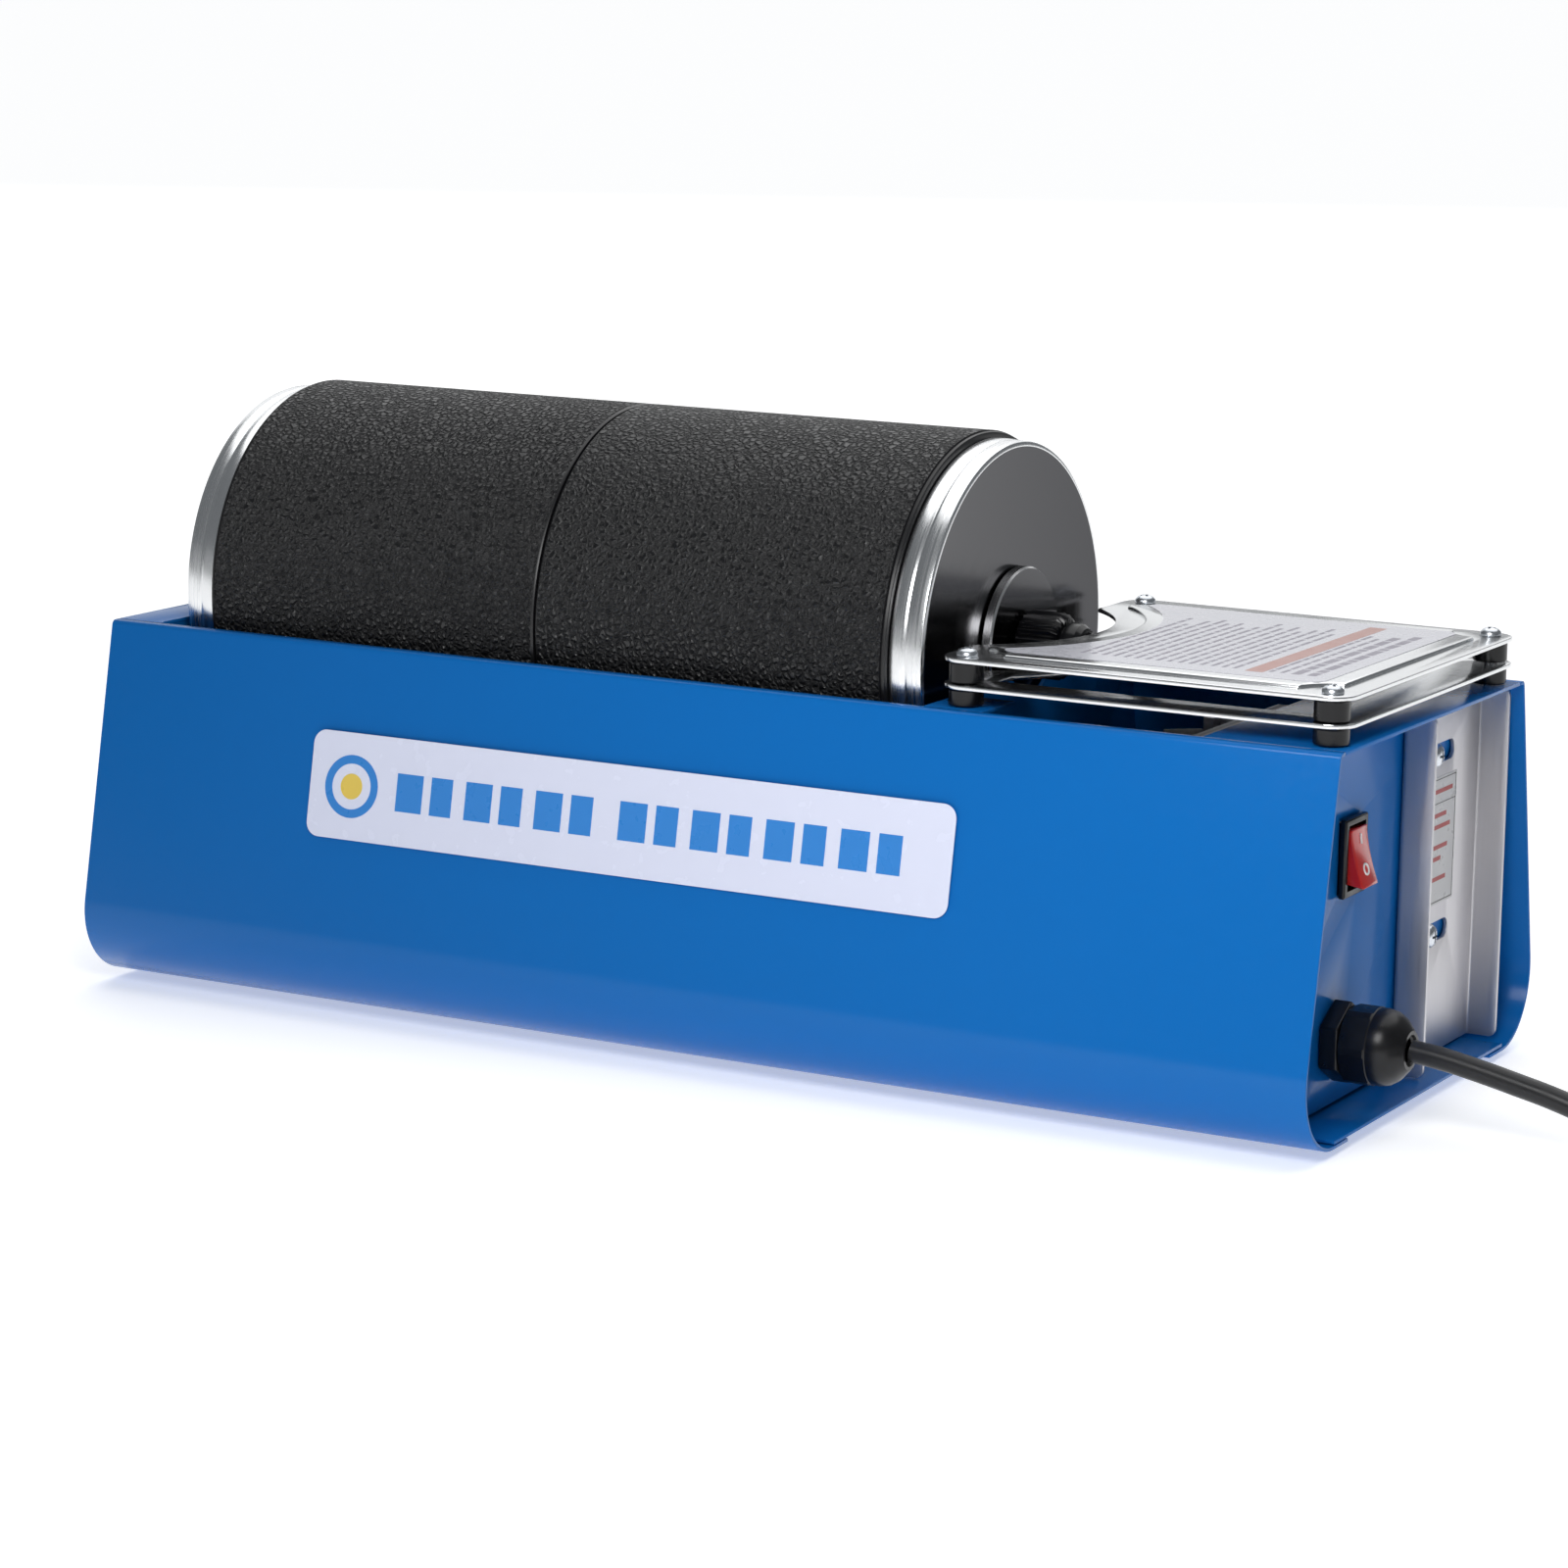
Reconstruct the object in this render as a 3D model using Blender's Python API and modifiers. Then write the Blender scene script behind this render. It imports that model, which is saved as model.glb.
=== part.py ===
"""Twin-barrel rotary rock tumbler, modelled piece by piece at real size.

Frame: +Z up, +X towards the motor end, the front side sheet faces -Y.
The origin is on the standing surface, below the middle of the base.
Dimensions below are in millimetres; MM turns them into metres.
"""

import math

import bmesh
import bpy
from mathutils import Matrix, Vector

MM = 0.001
GAP = 0.3              # air left between touching pieces
RUNNING = 0.1          # radial clearance of a shaft in its bore

# Base: two bent side sheets on a floor plate, closed by two recessed end panels
LENGTH = 380.0
FOOT_HEIGHT = 2.0
BODY_HEIGHT = 103.1
TOP_HALF_WIDTH = 65.8
KNEE_HALF_WIDTH = 80.0
KNEE_HEIGHT = 23.5
LIP_HALF_WIDTH = 50.7
TOP_FLANGE = 3.8
SHEET = 1.0
PANEL_X = 176.6        # outer face of each end panel
BRIDGE_X = 151.0       # inner edge of the right panel's top bridge
BRIDGE_HALF_WIDTH = 61.7
FLOOR_LEVEL = 1.3
PARTITION_X = 71.2
PARTITION_FLANGE = 17.0
PARTITION_TAB = 42.0   # half-width of the gap between its two flange tabs
KNOB_NOTCH = 14.0      # radius of the panels' notches round the lid knobs

FOOT_RADIUS = 7.0
FOOT_X = 160.0
FOOT_Y = 42.0

# Deck over the motor bay: two plates on stacked spacers
DECK_X = (73.9, 189.5)
DECK_HALF_WIDTH = 61.0
DECK_CORNER = 7.0
DECK_PLATE = 1.2
VENT_LEVEL = 108.0
TOP_LEVEL = 115.1
NOTCH_CENTRE_X = 43.0
NOTCH_RADIUS = 49.0
VENT_X = (86.0, 174.5)
VENT_HALF_WIDTH = 48.6
VENT_NOTCH_RADIUS = 58.0
SPACER_X = (80.3, 183.2)
SPACER_Y = 55.4
SPACER_RADIUS = 4.7
SPACER_BORE = 2.3

# Barrels: rubber cups back to back, each closed by lids at its outer end
BARREL_Z = 111.3
SEAM_X = -52.3
BARREL_RADIUS = 57.1
BARREL_BORE = 50.0
BARREL_WALL_END = 108.8
NECK_RADIUS = 53.2
MOUTH = 117.7
LID_RADIUS = 55.1
LID_START = 109.3
LID_FACE = 119.0
STUD_RADIUS = 4.0
STUD_END = 143.4
DISC_RADIUS = 20.9
DISC_THICKNESS = 3.0
KNOB_RADIUS = 9.3
KNOB_END = 141.4

# Rollers under the barrels and the belt drive in the motor bay
ROLLER_Y = 38.0
SLEEVE_RADIUS = 11.0
SHAFT_RADIUS = 4.0
BUSH_FLANGE = 7.5
PULLEY_X = (85.0, 95.0)
DRIVE_PULLEY_RADIUS = 27.0
MOTOR_PULLEY_RADIUS = 7.0
PULLEY_FLANGE = 3.0
BELT_WIDTH = 5.0
BELT_THICKNESS = 2.4
MOTOR_Y = 30.0
MOTOR_Z = 61.8
MOTOR_SCREW_SPACING = 49.6
MOTOR_SHAFT_RADIUS = 2.5
ROTOR_RADIUS = 14.6
STATOR_X = (124.0, 146.0)
FAN_X = (99.5, 109.5)
FAN_RADIUS = 25.0

# Outer tension channel, switch and cord gland on the right end panel
CHANNEL_Y = (9.3, 64.8)
CHANNEL_X = 186.5
CHANNEL_Z = (2.8, 100.7)
SLOT_Y = (23.5, 45.2)
SLOT_HEIGHT = 5.4
SWITCH_Y = -24.6
SWITCH_Z = 68.8
BEZEL = (15.0, 21.0)
BEZEL_THICKNESS = 2.0
POCKET = (11.4, 17.4)
GLAND_Y = -31.3
GLAND_Z = 20.9
GLAND_FLATS = 19.0
GLAND_END = 198.6

BADGE_X = (-115.6, 86.4)
BADGE_Z = (49.8, 79.6)

CORD_RADIUS = 3.0
COIL_CENTRE = (303.0, -73.0)
COIL_MEAN_RADIUS = 33.0
COIL_TURNS_ACROSS = 3
COIL_LAYERS = 2
PLUG_SIZE = (30.0, 24.0, 17.0)
PLUG_X = 338.0
BOOT_RADIUS = 4.2
BOOT_START = 327.2

SIDE_ON = (math.pi / 2, 0.0, math.pi / 2)     # outline x, y -> world Y, Z
FRONT_ON = (math.pi / 2, 0.0, 0.0)            # outline x, y -> world X, Z
AXIS_PLUS_X = (0.0, math.pi / 2, 0.0)         # turned axis -> world +X
AXIS_MINUS_X = (0.0, -math.pi / 2, 0.0)       # turned axis -> world -X


def lifted(height):
    """Height above the standing surface of a height above the base's underside."""
    return height + FOOT_HEIGHT


# ---------------------------------------------------------------- scene set-up

def clear_scene():
    for obj in list(bpy.data.objects):
        bpy.data.objects.remove(obj, do_unlink=True)


def new_collection(name):
    collection = bpy.data.collections.new(name)
    bpy.context.scene.collection.children.link(collection)
    return collection


clear_scene()
PARTS = new_collection("rock_tumbler")
CUTTERS = new_collection("cutters")


def material(name, colour, roughness, metallic=0.0):
    mat = bpy.data.materials.get(name)
    if mat is None:
        mat = bpy.data.materials.new(name)
        mat.use_nodes = True
        shader = mat.node_tree.nodes["Principled BSDF"]
        shader.inputs["Base Color"].default_value = (*colour, 1.0)
        shader.inputs["Roughness"].default_value = roughness
        shader.inputs["Metallic"].default_value = metallic
    return mat


BLUE = material("blue_enamel", (0.01, 0.13, 0.55), 0.3)
STEEL = material("bright_steel", (0.72, 0.72, 0.73), 0.25, 1.0)
ALUMINIUM = material("spun_aluminium", (0.80, 0.80, 0.81), 0.3, 1.0)
BLACK_RUBBER = material("black_rubber", (0.03, 0.03, 0.033), 0.6)
BLACK_PLASTIC = material("black_plastic", (0.02, 0.02, 0.022), 0.45)
RED_PLASTIC = material("red_plastic", (0.6, 0.02, 0.02), 0.35)
BRONZE = material("bronze", (0.55, 0.36, 0.16), 0.4, 1.0)
LAMINATION = material("lamination_steel", (0.32, 0.33, 0.35), 0.5, 1.0)
COPPER = material("copper_winding", (0.60, 0.26, 0.12), 0.45, 0.6)
NYLON = material("nylon", (0.78, 0.77, 0.72), 0.5)
PVC = material("pvc_cord", (0.02, 0.02, 0.02), 0.4)
PALE_PLASTIC = material("pale_badge", (0.75, 0.76, 0.86), 0.35)


# ---------------------------------------------------------------- modelling aids

def add_object(name, data, mat, collection=None):
    obj = bpy.data.objects.new(name, data)
    (collection or PARTS).objects.link(obj)
    if mat is not None:
        data.materials.append(mat)
    return obj


def place(obj, location, rotation=(0.0, 0.0, 0.0)):
    obj.location = [value * MM for value in location]
    obj.rotation_euler = rotation
    return obj


def smooth(obj, angle=35.0):
    obj.data.shade_smooth()
    obj.data.set_sharp_from_angle(angle=math.radians(angle))
    return obj


def as_cutter(obj):
    obj.hide_render = True
    obj.display_type = "WIRE"
    return obj


def box(name, low, high, mat, collection=None):
    mesh = bpy.data.meshes.new(name)
    bm = bmesh.new()
    bmesh.ops.create_cube(bm, size=1.0)
    size = [(b - a) * MM for a, b in zip(low, high)]
    centre = [(a + b) / 2 * MM for a, b in zip(low, high)]
    bmesh.ops.scale(bm, vec=size, verts=bm.verts)
    bm.to_mesh(mesh)
    bm.free()
    obj = add_object(name, mesh, mat, collection)
    obj.location = centre
    return obj


def rod(name, radius, start, end, mat, collection=None, sides=24):
    """Solid cylinder between two points."""
    a, b = Vector(start) * MM, Vector(end) * MM
    mesh = bpy.data.meshes.new(name)
    bm = bmesh.new()
    bmesh.ops.create_cone(bm, cap_ends=True, segments=sides, radius1=radius * MM,
                          radius2=radius * MM, depth=(b - a).length)
    bm.to_mesh(mesh)
    bm.free()
    obj = add_object(name, mesh, mat, collection)
    obj.location = (a + b) / 2
    obj.rotation_euler = (b - a).to_track_quat("Z", "Y").to_euler()
    return obj


def turned(name, profile, location, rotation, mat, steps=32, closed=True):
    """Revolve a profile of (radius, height) about the local Z axis.

    The profile's outer side runs from its highest point down to its lowest.
    """
    mesh = bpy.data.meshes.new(name)
    bm = bmesh.new()
    verts = [bm.verts.new((radius * MM, 0.0, height * MM)) for radius, height in profile]
    for a, b in zip(verts, verts[1:]):
        bm.edges.new((a, b))
    if closed:
        bm.edges.new((verts[-1], verts[0]))
    bm.to_mesh(mesh)
    bm.free()
    obj = add_object(name, mesh, mat)
    screw = obj.modifiers.new("turn", "SCREW")
    screw.steps = screw.render_steps = steps
    screw.use_merge_vertices = True
    screw.merge_threshold = 0.00001
    place(obj, location, rotation)
    return smooth(obj)


def ring_profile(bore, radius, low, high):
    return [(radius, high), (radius, low), (bore, low), (bore, high)]


def plate(name, loops, thickness, location, rotation, mat, collection=None):
    """Flat plate of an outline and its holes, centred on its mid-plane."""
    curve = bpy.data.curves.new(name, "CURVE")
    curve.dimensions = "2D"
    curve.fill_mode = "BOTH"
    curve.extrude = thickness / 2 * MM
    for loop in loops:
        spline = curve.splines.new("POLY")
        spline.points.add(len(loop) - 1)
        for point, (x, y) in zip(spline.points, loop):
            point.co = (x * MM, y * MM, 0.0, 1.0)
        spline.use_cyclic_u = True
    obj = add_object(name, curve, mat, collection)
    return place(obj, location, rotation)


def to_mesh(obj):
    """Replace a curve object by its welded mesh."""
    bpy.context.view_layer.update()
    evaluated = obj.evaluated_get(bpy.context.evaluated_depsgraph_get())
    mesh = bpy.data.meshes.new_from_object(evaluated)
    bm = bmesh.new()
    bm.from_mesh(mesh)
    bmesh.ops.remove_doubles(bm, verts=bm.verts, dist=0.00001)
    bmesh.ops.recalc_face_normals(bm, faces=bm.faces)
    bm.to_mesh(mesh)
    bm.free()
    name, matrix = obj.name, obj.matrix_world.copy()
    collection = obj.users_collection[0]
    bpy.data.objects.remove(obj, do_unlink=True)
    solid = bpy.data.objects.new(name, mesh)
    solid.matrix_world = matrix
    collection.objects.link(solid)
    return solid


def combine(obj, other, operation):
    """Boolean with a helper solid from the cutters' collection."""
    as_cutter(other)
    modifier = obj.modifiers.new(operation.lower(), "BOOLEAN")
    modifier.operation = operation
    modifier.object = other
    return obj


def cut(obj, cutter):
    return combine(obj, cutter, "DIFFERENCE")


def join(obj, addition):
    return combine(obj, addition, "UNION")


def arc(centre, radius, start, end, steps):
    """Points along an arc, angles in radians."""
    cx, cy = centre
    angles = [start + (end - start) * i / steps for i in range(steps + 1)]
    return [(cx + radius * math.cos(a), cy + radius * math.sin(a)) for a in angles]


def circle(centre, radius, steps=20):
    return arc(centre, radius, 0.0, 2 * math.pi, steps)[:-1]


def slot_outline(y_range, z, height, steps=6):
    r = height / 2
    y_low, y_high = y_range
    right = arc((y_high - r, z), r, -math.pi / 2, math.pi / 2, steps)
    left = arc((y_low + r, z), r, math.pi / 2, 3 * math.pi / 2, steps)
    return right + left


def mirrored(points):
    return [(-x, y) for x, y in reversed(points)]


# ---------------------------------------------------------------- base

LEAN = math.atan2(KNEE_HALF_WIDTH - TOP_HALF_WIDTH, BODY_HEIGHT - KNEE_HEIGHT)
KNEE_RADIUS = KNEE_HEIGHT / (1 + math.sin(LEAN))
KNEE_CENTRE_Y = KNEE_HALF_WIDTH - KNEE_RADIUS * math.cos(LEAN)


def side_profile(inset=0.0):
    """Half section of a side sheet from its top corner to its lip, inset inwards."""
    cos_lean, sin_lean = math.cos(LEAN), math.sin(LEAN)
    top_y = TOP_HALF_WIDTH - inset * cos_lean
    top_z = BODY_HEIGHT - inset * sin_lean
    knee = arc((KNEE_CENTRE_Y, KNEE_RADIUS), KNEE_RADIUS - inset, LEAN, -math.pi / 2, 10)
    return [(top_y, top_z)] + knee


def add_side_sheet(name, side):
    corner = 1.5
    profile = [(TOP_HALF_WIDTH - TOP_FLANGE, BODY_HEIGHT)]
    profile += [(TOP_HALF_WIDTH - corner, BODY_HEIGHT),
                (TOP_HALF_WIDTH - 0.25 * corner, BODY_HEIGHT - 0.35 * corner),
                (TOP_HALF_WIDTH + corner * math.tan(LEAN), BODY_HEIGHT - corner)]
    profile += side_profile()[1:] + [(LIP_HALF_WIDTH, 0.0)]
    mesh = bpy.data.meshes.new(name)
    bm = bmesh.new()
    verts = [bm.verts.new((-LENGTH / 2 * MM, side * y * MM, lifted(z) * MM)) for y, z in profile]
    edges = [bm.edges.new((a, b)) for a, b in zip(verts, verts[1:])]
    swept = bmesh.ops.extrude_edge_only(bm, edges=edges)
    moved = [item for item in swept["geom"] if isinstance(item, bmesh.types.BMVert)]
    bmesh.ops.translate(bm, vec=(LENGTH * MM, 0.0, 0.0), verts=moved)
    outward = Vector((0.0, side, 0.0))
    wall = max(bm.faces, key=lambda face: face.calc_area())
    if wall.normal.dot(outward) < 0 or wall.normal.length == 0:
        bm.normal_update()
    if wall.normal.dot(outward) < 0:
        bmesh.ops.reverse_faces(bm, faces=bm.faces)
    bm.to_mesh(mesh)
    bm.free()
    obj = add_object(name, mesh, BLUE)
    solidify = obj.modifiers.new("sheet", "SOLIDIFY")
    solidify.thickness = SHEET * MM
    solidify.offset = -1.0
    solidify.use_even_offset = True
    return smooth(obj)


def panel_outline(low, high):
    """Outline that fits between the side sheets, from one height to another."""
    inset = SHEET + GAP
    right = [(y, z) for y, z in side_profile(inset) if z > low]
    wall_top, wall_foot = right[0], right[1]
    slope = (wall_foot[0] - wall_top[0]) / (wall_top[1] - wall_foot[1])
    corner = (wall_top[0] + (wall_top[1] - high) * slope, high)
    reach = math.sqrt((KNEE_RADIUS - inset) ** 2 - (KNEE_RADIUS - low) ** 2)
    foot = (KNEE_CENTRE_Y + reach, low)
    right = [corner] + right[1:] + [foot]
    return right + mirrored(right)


PANEL_LOW = FLOOR_LEVEL + SHEET + GAP
PANEL_HIGH = BODY_HEIGHT - SHEET - GAP
ROLLER_Z = BARREL_Z - math.sqrt(
    (BARREL_RADIUS + SLEEVE_RADIUS + GAP) ** 2 - ROLLER_Y ** 2)


def roller_holes():
    return [circle((y, ROLLER_Z), 5.6) for y in (-ROLLER_Y, ROLLER_Y)]


def add_panel(name, x, holes):
    """Upright panel whose lower face in X is at x, as a mesh ready for Booleans."""
    flat = plate(name, [panel_outline(PANEL_LOW, PANEL_HIGH)] + holes, SHEET,
                 (x + SHEET / 2, 0.0, FOOT_HEIGHT), SIDE_ON, BLUE)
    return to_mesh(flat)


def add_top_flange(panel, x_range, y_low, y_high):
    """Bend the panel's top edge into a flat flange between two Y positions."""
    flange = box(f"{panel.name}_flange", (x_range[0], y_low, lifted(BODY_HEIGHT - SHEET)),
                 (x_range[1], y_high, lifted(BODY_HEIGHT)), None, CUTTERS)
    face = panel.matrix_world.translation.x / MM
    neck = box(f"{panel.name}_neck", (face - SHEET / 2, y_low + 0.5, lifted(PANEL_HIGH - 0.5)),
               (face + SHEET / 2, y_high - 0.5, lifted(BODY_HEIGHT - SHEET / 2)), None, CUTTERS)
    join(panel, neck)
    return join(panel, flange)


def spacer_hole(x, y, radius=1.7):
    return rod("spacer_hole", radius, (x, y, lifted(BODY_HEIGHT - 5)),
               (x, y, lifted(BODY_HEIGHT + 3)), None, CUTTERS, sides=16)


def build_base():
    add_side_sheet("front_side_sheet", -1)
    add_side_sheet("rear_side_sheet", 1)
    box("floor_plate", (-LENGTH / 2, -60.0, lifted(FLOOR_LEVEL)),
        (LENGTH / 2, 60.0, lifted(FLOOR_LEVEL + SHEET)), BLUE)
    build_left_panel()
    build_right_panel()
    build_partition()
    for i, (x, y) in enumerate(((-1, -1), (1, -1), (1, 1), (-1, 1)), start=1):
        foot = turned(f"rubber_foot_{i}",
                      [(0.0, FOOT_HEIGHT + 1.0), (FOOT_RADIUS - 1.0, FOOT_HEIGHT + 1.0),
                       (FOOT_RADIUS, FOOT_HEIGHT), (FOOT_RADIUS - 0.6, 0.0), (0.0, 0.0)],
                      (x * FOOT_X, y * FOOT_Y, 0.0), (0.0, 0.0, 0.0), BLACK_RUBBER,
                      steps=20, closed=False)
        foot.data.update()


def knob_notch(x_low, x_high):
    return rod("knob_notch", KNOB_NOTCH, (x_low, 0.0, lifted(BARREL_Z)),
               (x_high, 0.0, lifted(BARREL_Z)), None, CUTTERS, sides=32)


def build_left_panel():
    panel = add_panel("left_end_panel", -PANEL_X, roller_holes())
    add_top_flange(panel, (-LENGTH / 2, -PANEL_X + SHEET), -BRIDGE_HALF_WIDTH, BRIDGE_HALF_WIDTH)
    cut(panel, knob_notch(-LENGTH / 2 - 5, -PANEL_X + 5))
    panel.data.materials.append(BLUE)


def build_right_panel():
    switch_hole = [(SWITCH_Y + sy * 6.8, SWITCH_Z + sz * 9.8)
                   for sy, sz in ((-1, -1), (1, -1), (1, 1), (-1, 1))]
    holes = [switch_hole, circle((GLAND_Y, GLAND_Z), 8.2, 24)]
    for z in motor_screw_heights():
        holes.append(slot_outline((SLOT_Y[0], SLOT_Y[1] - 4.0), z, SLOT_HEIGHT))
    panel = add_panel("right_end_panel", PANEL_X - SHEET, holes)
    add_top_flange(panel, (BRIDGE_X, LENGTH / 2), -BRIDGE_HALF_WIDTH, BRIDGE_HALF_WIDTH)
    for y in (-SPACER_Y, SPACER_Y):
        cut(panel, spacer_hole(SPACER_X[1], y))
    panel.data.materials.append(BLUE)


def build_partition():
    panel = add_panel("partition_panel", PARTITION_X, roller_holes())
    flange_x = (PARTITION_X, PARTITION_X + PARTITION_FLANGE)
    add_top_flange(panel, flange_x, -BRIDGE_HALF_WIDTH, -PARTITION_TAB)
    add_top_flange(panel, flange_x, PARTITION_TAB, BRIDGE_HALF_WIDTH)
    cut(panel, knob_notch(PARTITION_X - 5, PARTITION_X + 5))
    for y in (-SPACER_Y, SPACER_Y):
        cut(panel, spacer_hole(SPACER_X[0], y))
    panel.data.materials.append(BLUE)


# ---------------------------------------------------------------- deck

def deck_outline():
    """Rounded rectangle with a round bite in its left side."""
    (x0, x1), w, r = DECK_X, DECK_HALF_WIDTH, DECK_CORNER
    reach = math.acos((x0 - NOTCH_CENTRE_X) / NOTCH_RADIUS)
    bite = arc((NOTCH_CENTRE_X, 0.0), NOTCH_RADIUS, reach, -reach, 18)
    return (arc((x0 + r, -w + r), r, math.pi, 1.5 * math.pi, 5)
            + arc((x1 - r, -w + r), r, 1.5 * math.pi, 2 * math.pi, 5)
            + arc((x1 - r, w - r), r, 0.0, 0.5 * math.pi, 5)
            + arc((x0 + r, w - r), r, 0.5 * math.pi, math.pi, 5)
            + bite)


def vent_outline():
    (x0, x1), w = VENT_X, VENT_HALF_WIDTH
    reach = math.acos((x0 - NOTCH_CENTRE_X) / VENT_NOTCH_RADIUS)
    bite = arc((NOTCH_CENTRE_X, 0.0), VENT_NOTCH_RADIUS, reach, -reach, 18)
    return [(x0, -w), (x1, -w), (x1, w), (x0, w)] + bite


def build_deck():
    holes = [circle((x, y), 2.2, 16) for x in SPACER_X for y in (-SPACER_Y, SPACER_Y)]
    plate("vent_plate", [deck_outline(), vent_outline()] + holes, DECK_PLATE,
          (0.0, 0.0, lifted(VENT_LEVEL + DECK_PLATE / 2)), (0.0, 0.0, 0.0), STEEL)
    plate("top_plate", [deck_outline()] + holes, DECK_PLATE,
          (0.0, 0.0, lifted(TOP_LEVEL + DECK_PLATE / 2)), (0.0, 0.0, 0.0), STEEL)
    levels = {"lower_spacer": (BODY_HEIGHT + GAP, VENT_LEVEL - GAP),
              "upper_spacer": (VENT_LEVEL + DECK_PLATE + GAP, TOP_LEVEL - GAP)}
    corners = [(SPACER_X[0], -SPACER_Y), (SPACER_X[1], -SPACER_Y),
               (SPACER_X[1], SPACER_Y), (SPACER_X[0], SPACER_Y)]
    for name, (low, high) in levels.items():
        for i, (x, y) in enumerate(corners, start=1):
            turned(f"{name}_{i}", ring_profile(SPACER_BORE, SPACER_RADIUS, 0.0, high - low),
                   (x, y, lifted(low)), (0.0, 0.0, 0.0), BLACK_PLASTIC, steps=16)


# ---------------------------------------------------------------- barrels

def cup_profile():
    """Rubber cup, closed at height 0.2 and open at its mouth."""
    bottom, wall = 0.2, 6.5
    inside = [(0.0, bottom + wall), (BARREL_BORE - 3.0, bottom + wall),
              (BARREL_BORE, bottom + wall + 3.0), (BARREL_BORE, MOUTH)]
    outside = [(NECK_RADIUS, MOUTH), (NECK_RADIUS, BARREL_WALL_END),
               (BARREL_RADIUS - 1.2, BARREL_WALL_END),
               (BARREL_RADIUS - 1.2, BARREL_WALL_END - 1.8),
               (BARREL_RADIUS, BARREL_WALL_END - 2.2), (BARREL_RADIUS, bottom + 1.2),
               (BARREL_RADIUS - 1.0, bottom), (0.0, bottom)]
    return inside + outside


def lid_profile():
    """Spun lid with a stepped rim and a rounded edge, bored for the stud."""
    bore = STUD_RADIUS + GAP
    inner_face = LID_FACE - SHEET
    outer = [(bore, LID_FACE)]
    outer += [(r, z) for z, r in arc((LID_FACE - 2.6, LID_RADIUS - 3.2), 2.6, 0.0, math.pi / 2, 3)]
    outer += [(LID_RADIUS - 0.6, LID_START + 5.6), (LID_RADIUS, LID_START + 4.6),
              (LID_RADIUS, LID_START)]
    inner = [(LID_RADIUS - 1.1, LID_START), (LID_RADIUS - 1.2, LID_START + 4.6),
             (LID_RADIUS - 1.3, inner_face - 0.3), (LID_RADIUS - 3.6, inner_face),
             (bore, inner_face)]
    return outer + inner


def inner_lid_profile():
    bore = STUD_RADIUS + GAP
    radius = BARREL_BORE - GAP
    face = 114.2
    return [(bore, face), (radius, face), (radius, 105.0), (radius - 1.2, 105.0),
            (radius - 1.2, face - 1.2), (bore, face - 1.2)]


def stud_profile():
    head, seat = 107.0, 112.7
    return [(0.0, STUD_END), (STUD_RADIUS - 0.8, STUD_END), (STUD_RADIUS, STUD_END - 0.8),
            (STUD_RADIUS, seat), (8.0, seat), (8.0, head), (0.0, head)]


def knob_profile():
    """Grip with a chamfered foot and a domed end, bored for the stud."""
    bore = STUD_RADIUS + GAP
    foot = LID_FACE + DISC_THICKNESS + 2 * GAP
    grip_end = KNOB_END - 6.0
    dome = [(KNOB_RADIUS - 2.4, KNOB_END), (KNOB_RADIUS - 0.9, KNOB_END - 1.6),
            (KNOB_RADIUS - 0.4, grip_end)]
    return [(bore, KNOB_END)] + dome + [(KNOB_RADIUS, grip_end - 0.4), (KNOB_RADIUS, foot + 2.0),
                                        (KNOB_RADIUS - 1.6, foot), (bore, foot)]


def add_barrel(side, rotation):
    hub = bpy.data.objects.new(f"{side}_barrel_axis", None)
    PARTS.objects.link(hub)
    place(hub, (SEAM_X, 0.0, lifted(BARREL_Z)), rotation)
    disc_low = LID_FACE + GAP
    bore = STUD_RADIUS + GAP
    pieces = [
        (turned(f"{side}_rubber_barrel", cup_profile(), (0, 0, 0), (0, 0, 0), BLACK_RUBBER, 44,
                closed=False)),
        (turned(f"{side}_inner_lid", inner_lid_profile(), (0, 0, 0), (0, 0, 0), STEEL, 32)),
        (turned(f"{side}_outer_lid", lid_profile(), (0, 0, 0), (0, 0, 0), ALUMINIUM, 36)),
        (turned(f"{side}_lid_stud", stud_profile(), (0, 0, 0), (0, 0, 0), STEEL, 16,
                closed=False)),
        (turned(f"{side}_lid_disc", ring_profile(bore, DISC_RADIUS, disc_low,
                                                 disc_low + DISC_THICKNESS),
                (0, 0, 0), (0, 0, 0), STEEL, 30)),
        (turned(f"{side}_knob", knob_profile(), (0, 0, 0), (0, 0, 0), BLACK_PLASTIC, 20)),
    ]
    for piece in pieces:
        piece.parent = hub


def build_barrels():
    add_barrel("right", AXIS_PLUS_X)
    add_barrel("left", AXIS_MINUS_X)


# ---------------------------------------------------------------- rollers and drive

def motor_screw_heights():
    return (MOTOR_Z + MOTOR_SCREW_SPACING / 2, MOTOR_Z - MOTOR_SCREW_SPACING / 2)


def on_axis(x, y, z):
    return (x, y, lifted(z))


def add_bush(name, y, x):
    """Flanged bush in a panel, its flange against the panel's trough side."""
    toward = 1.0 if x < 0 else -1.0
    bore = SHAFT_RADIUS + RUNNING
    seat = SHEET / 2 + GAP
    profile = [(BUSH_FLANGE, seat + 2.2), (BUSH_FLANGE, seat), (5.3, seat), (5.3, -3.0),
               (bore, -3.0), (bore, seat + 2.2)]
    rotation = AXIS_PLUS_X if toward > 0 else AXIS_MINUS_X
    turned(name, profile, on_axis(x, y, ROLLER_Z), rotation, BRONZE, 16)


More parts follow.
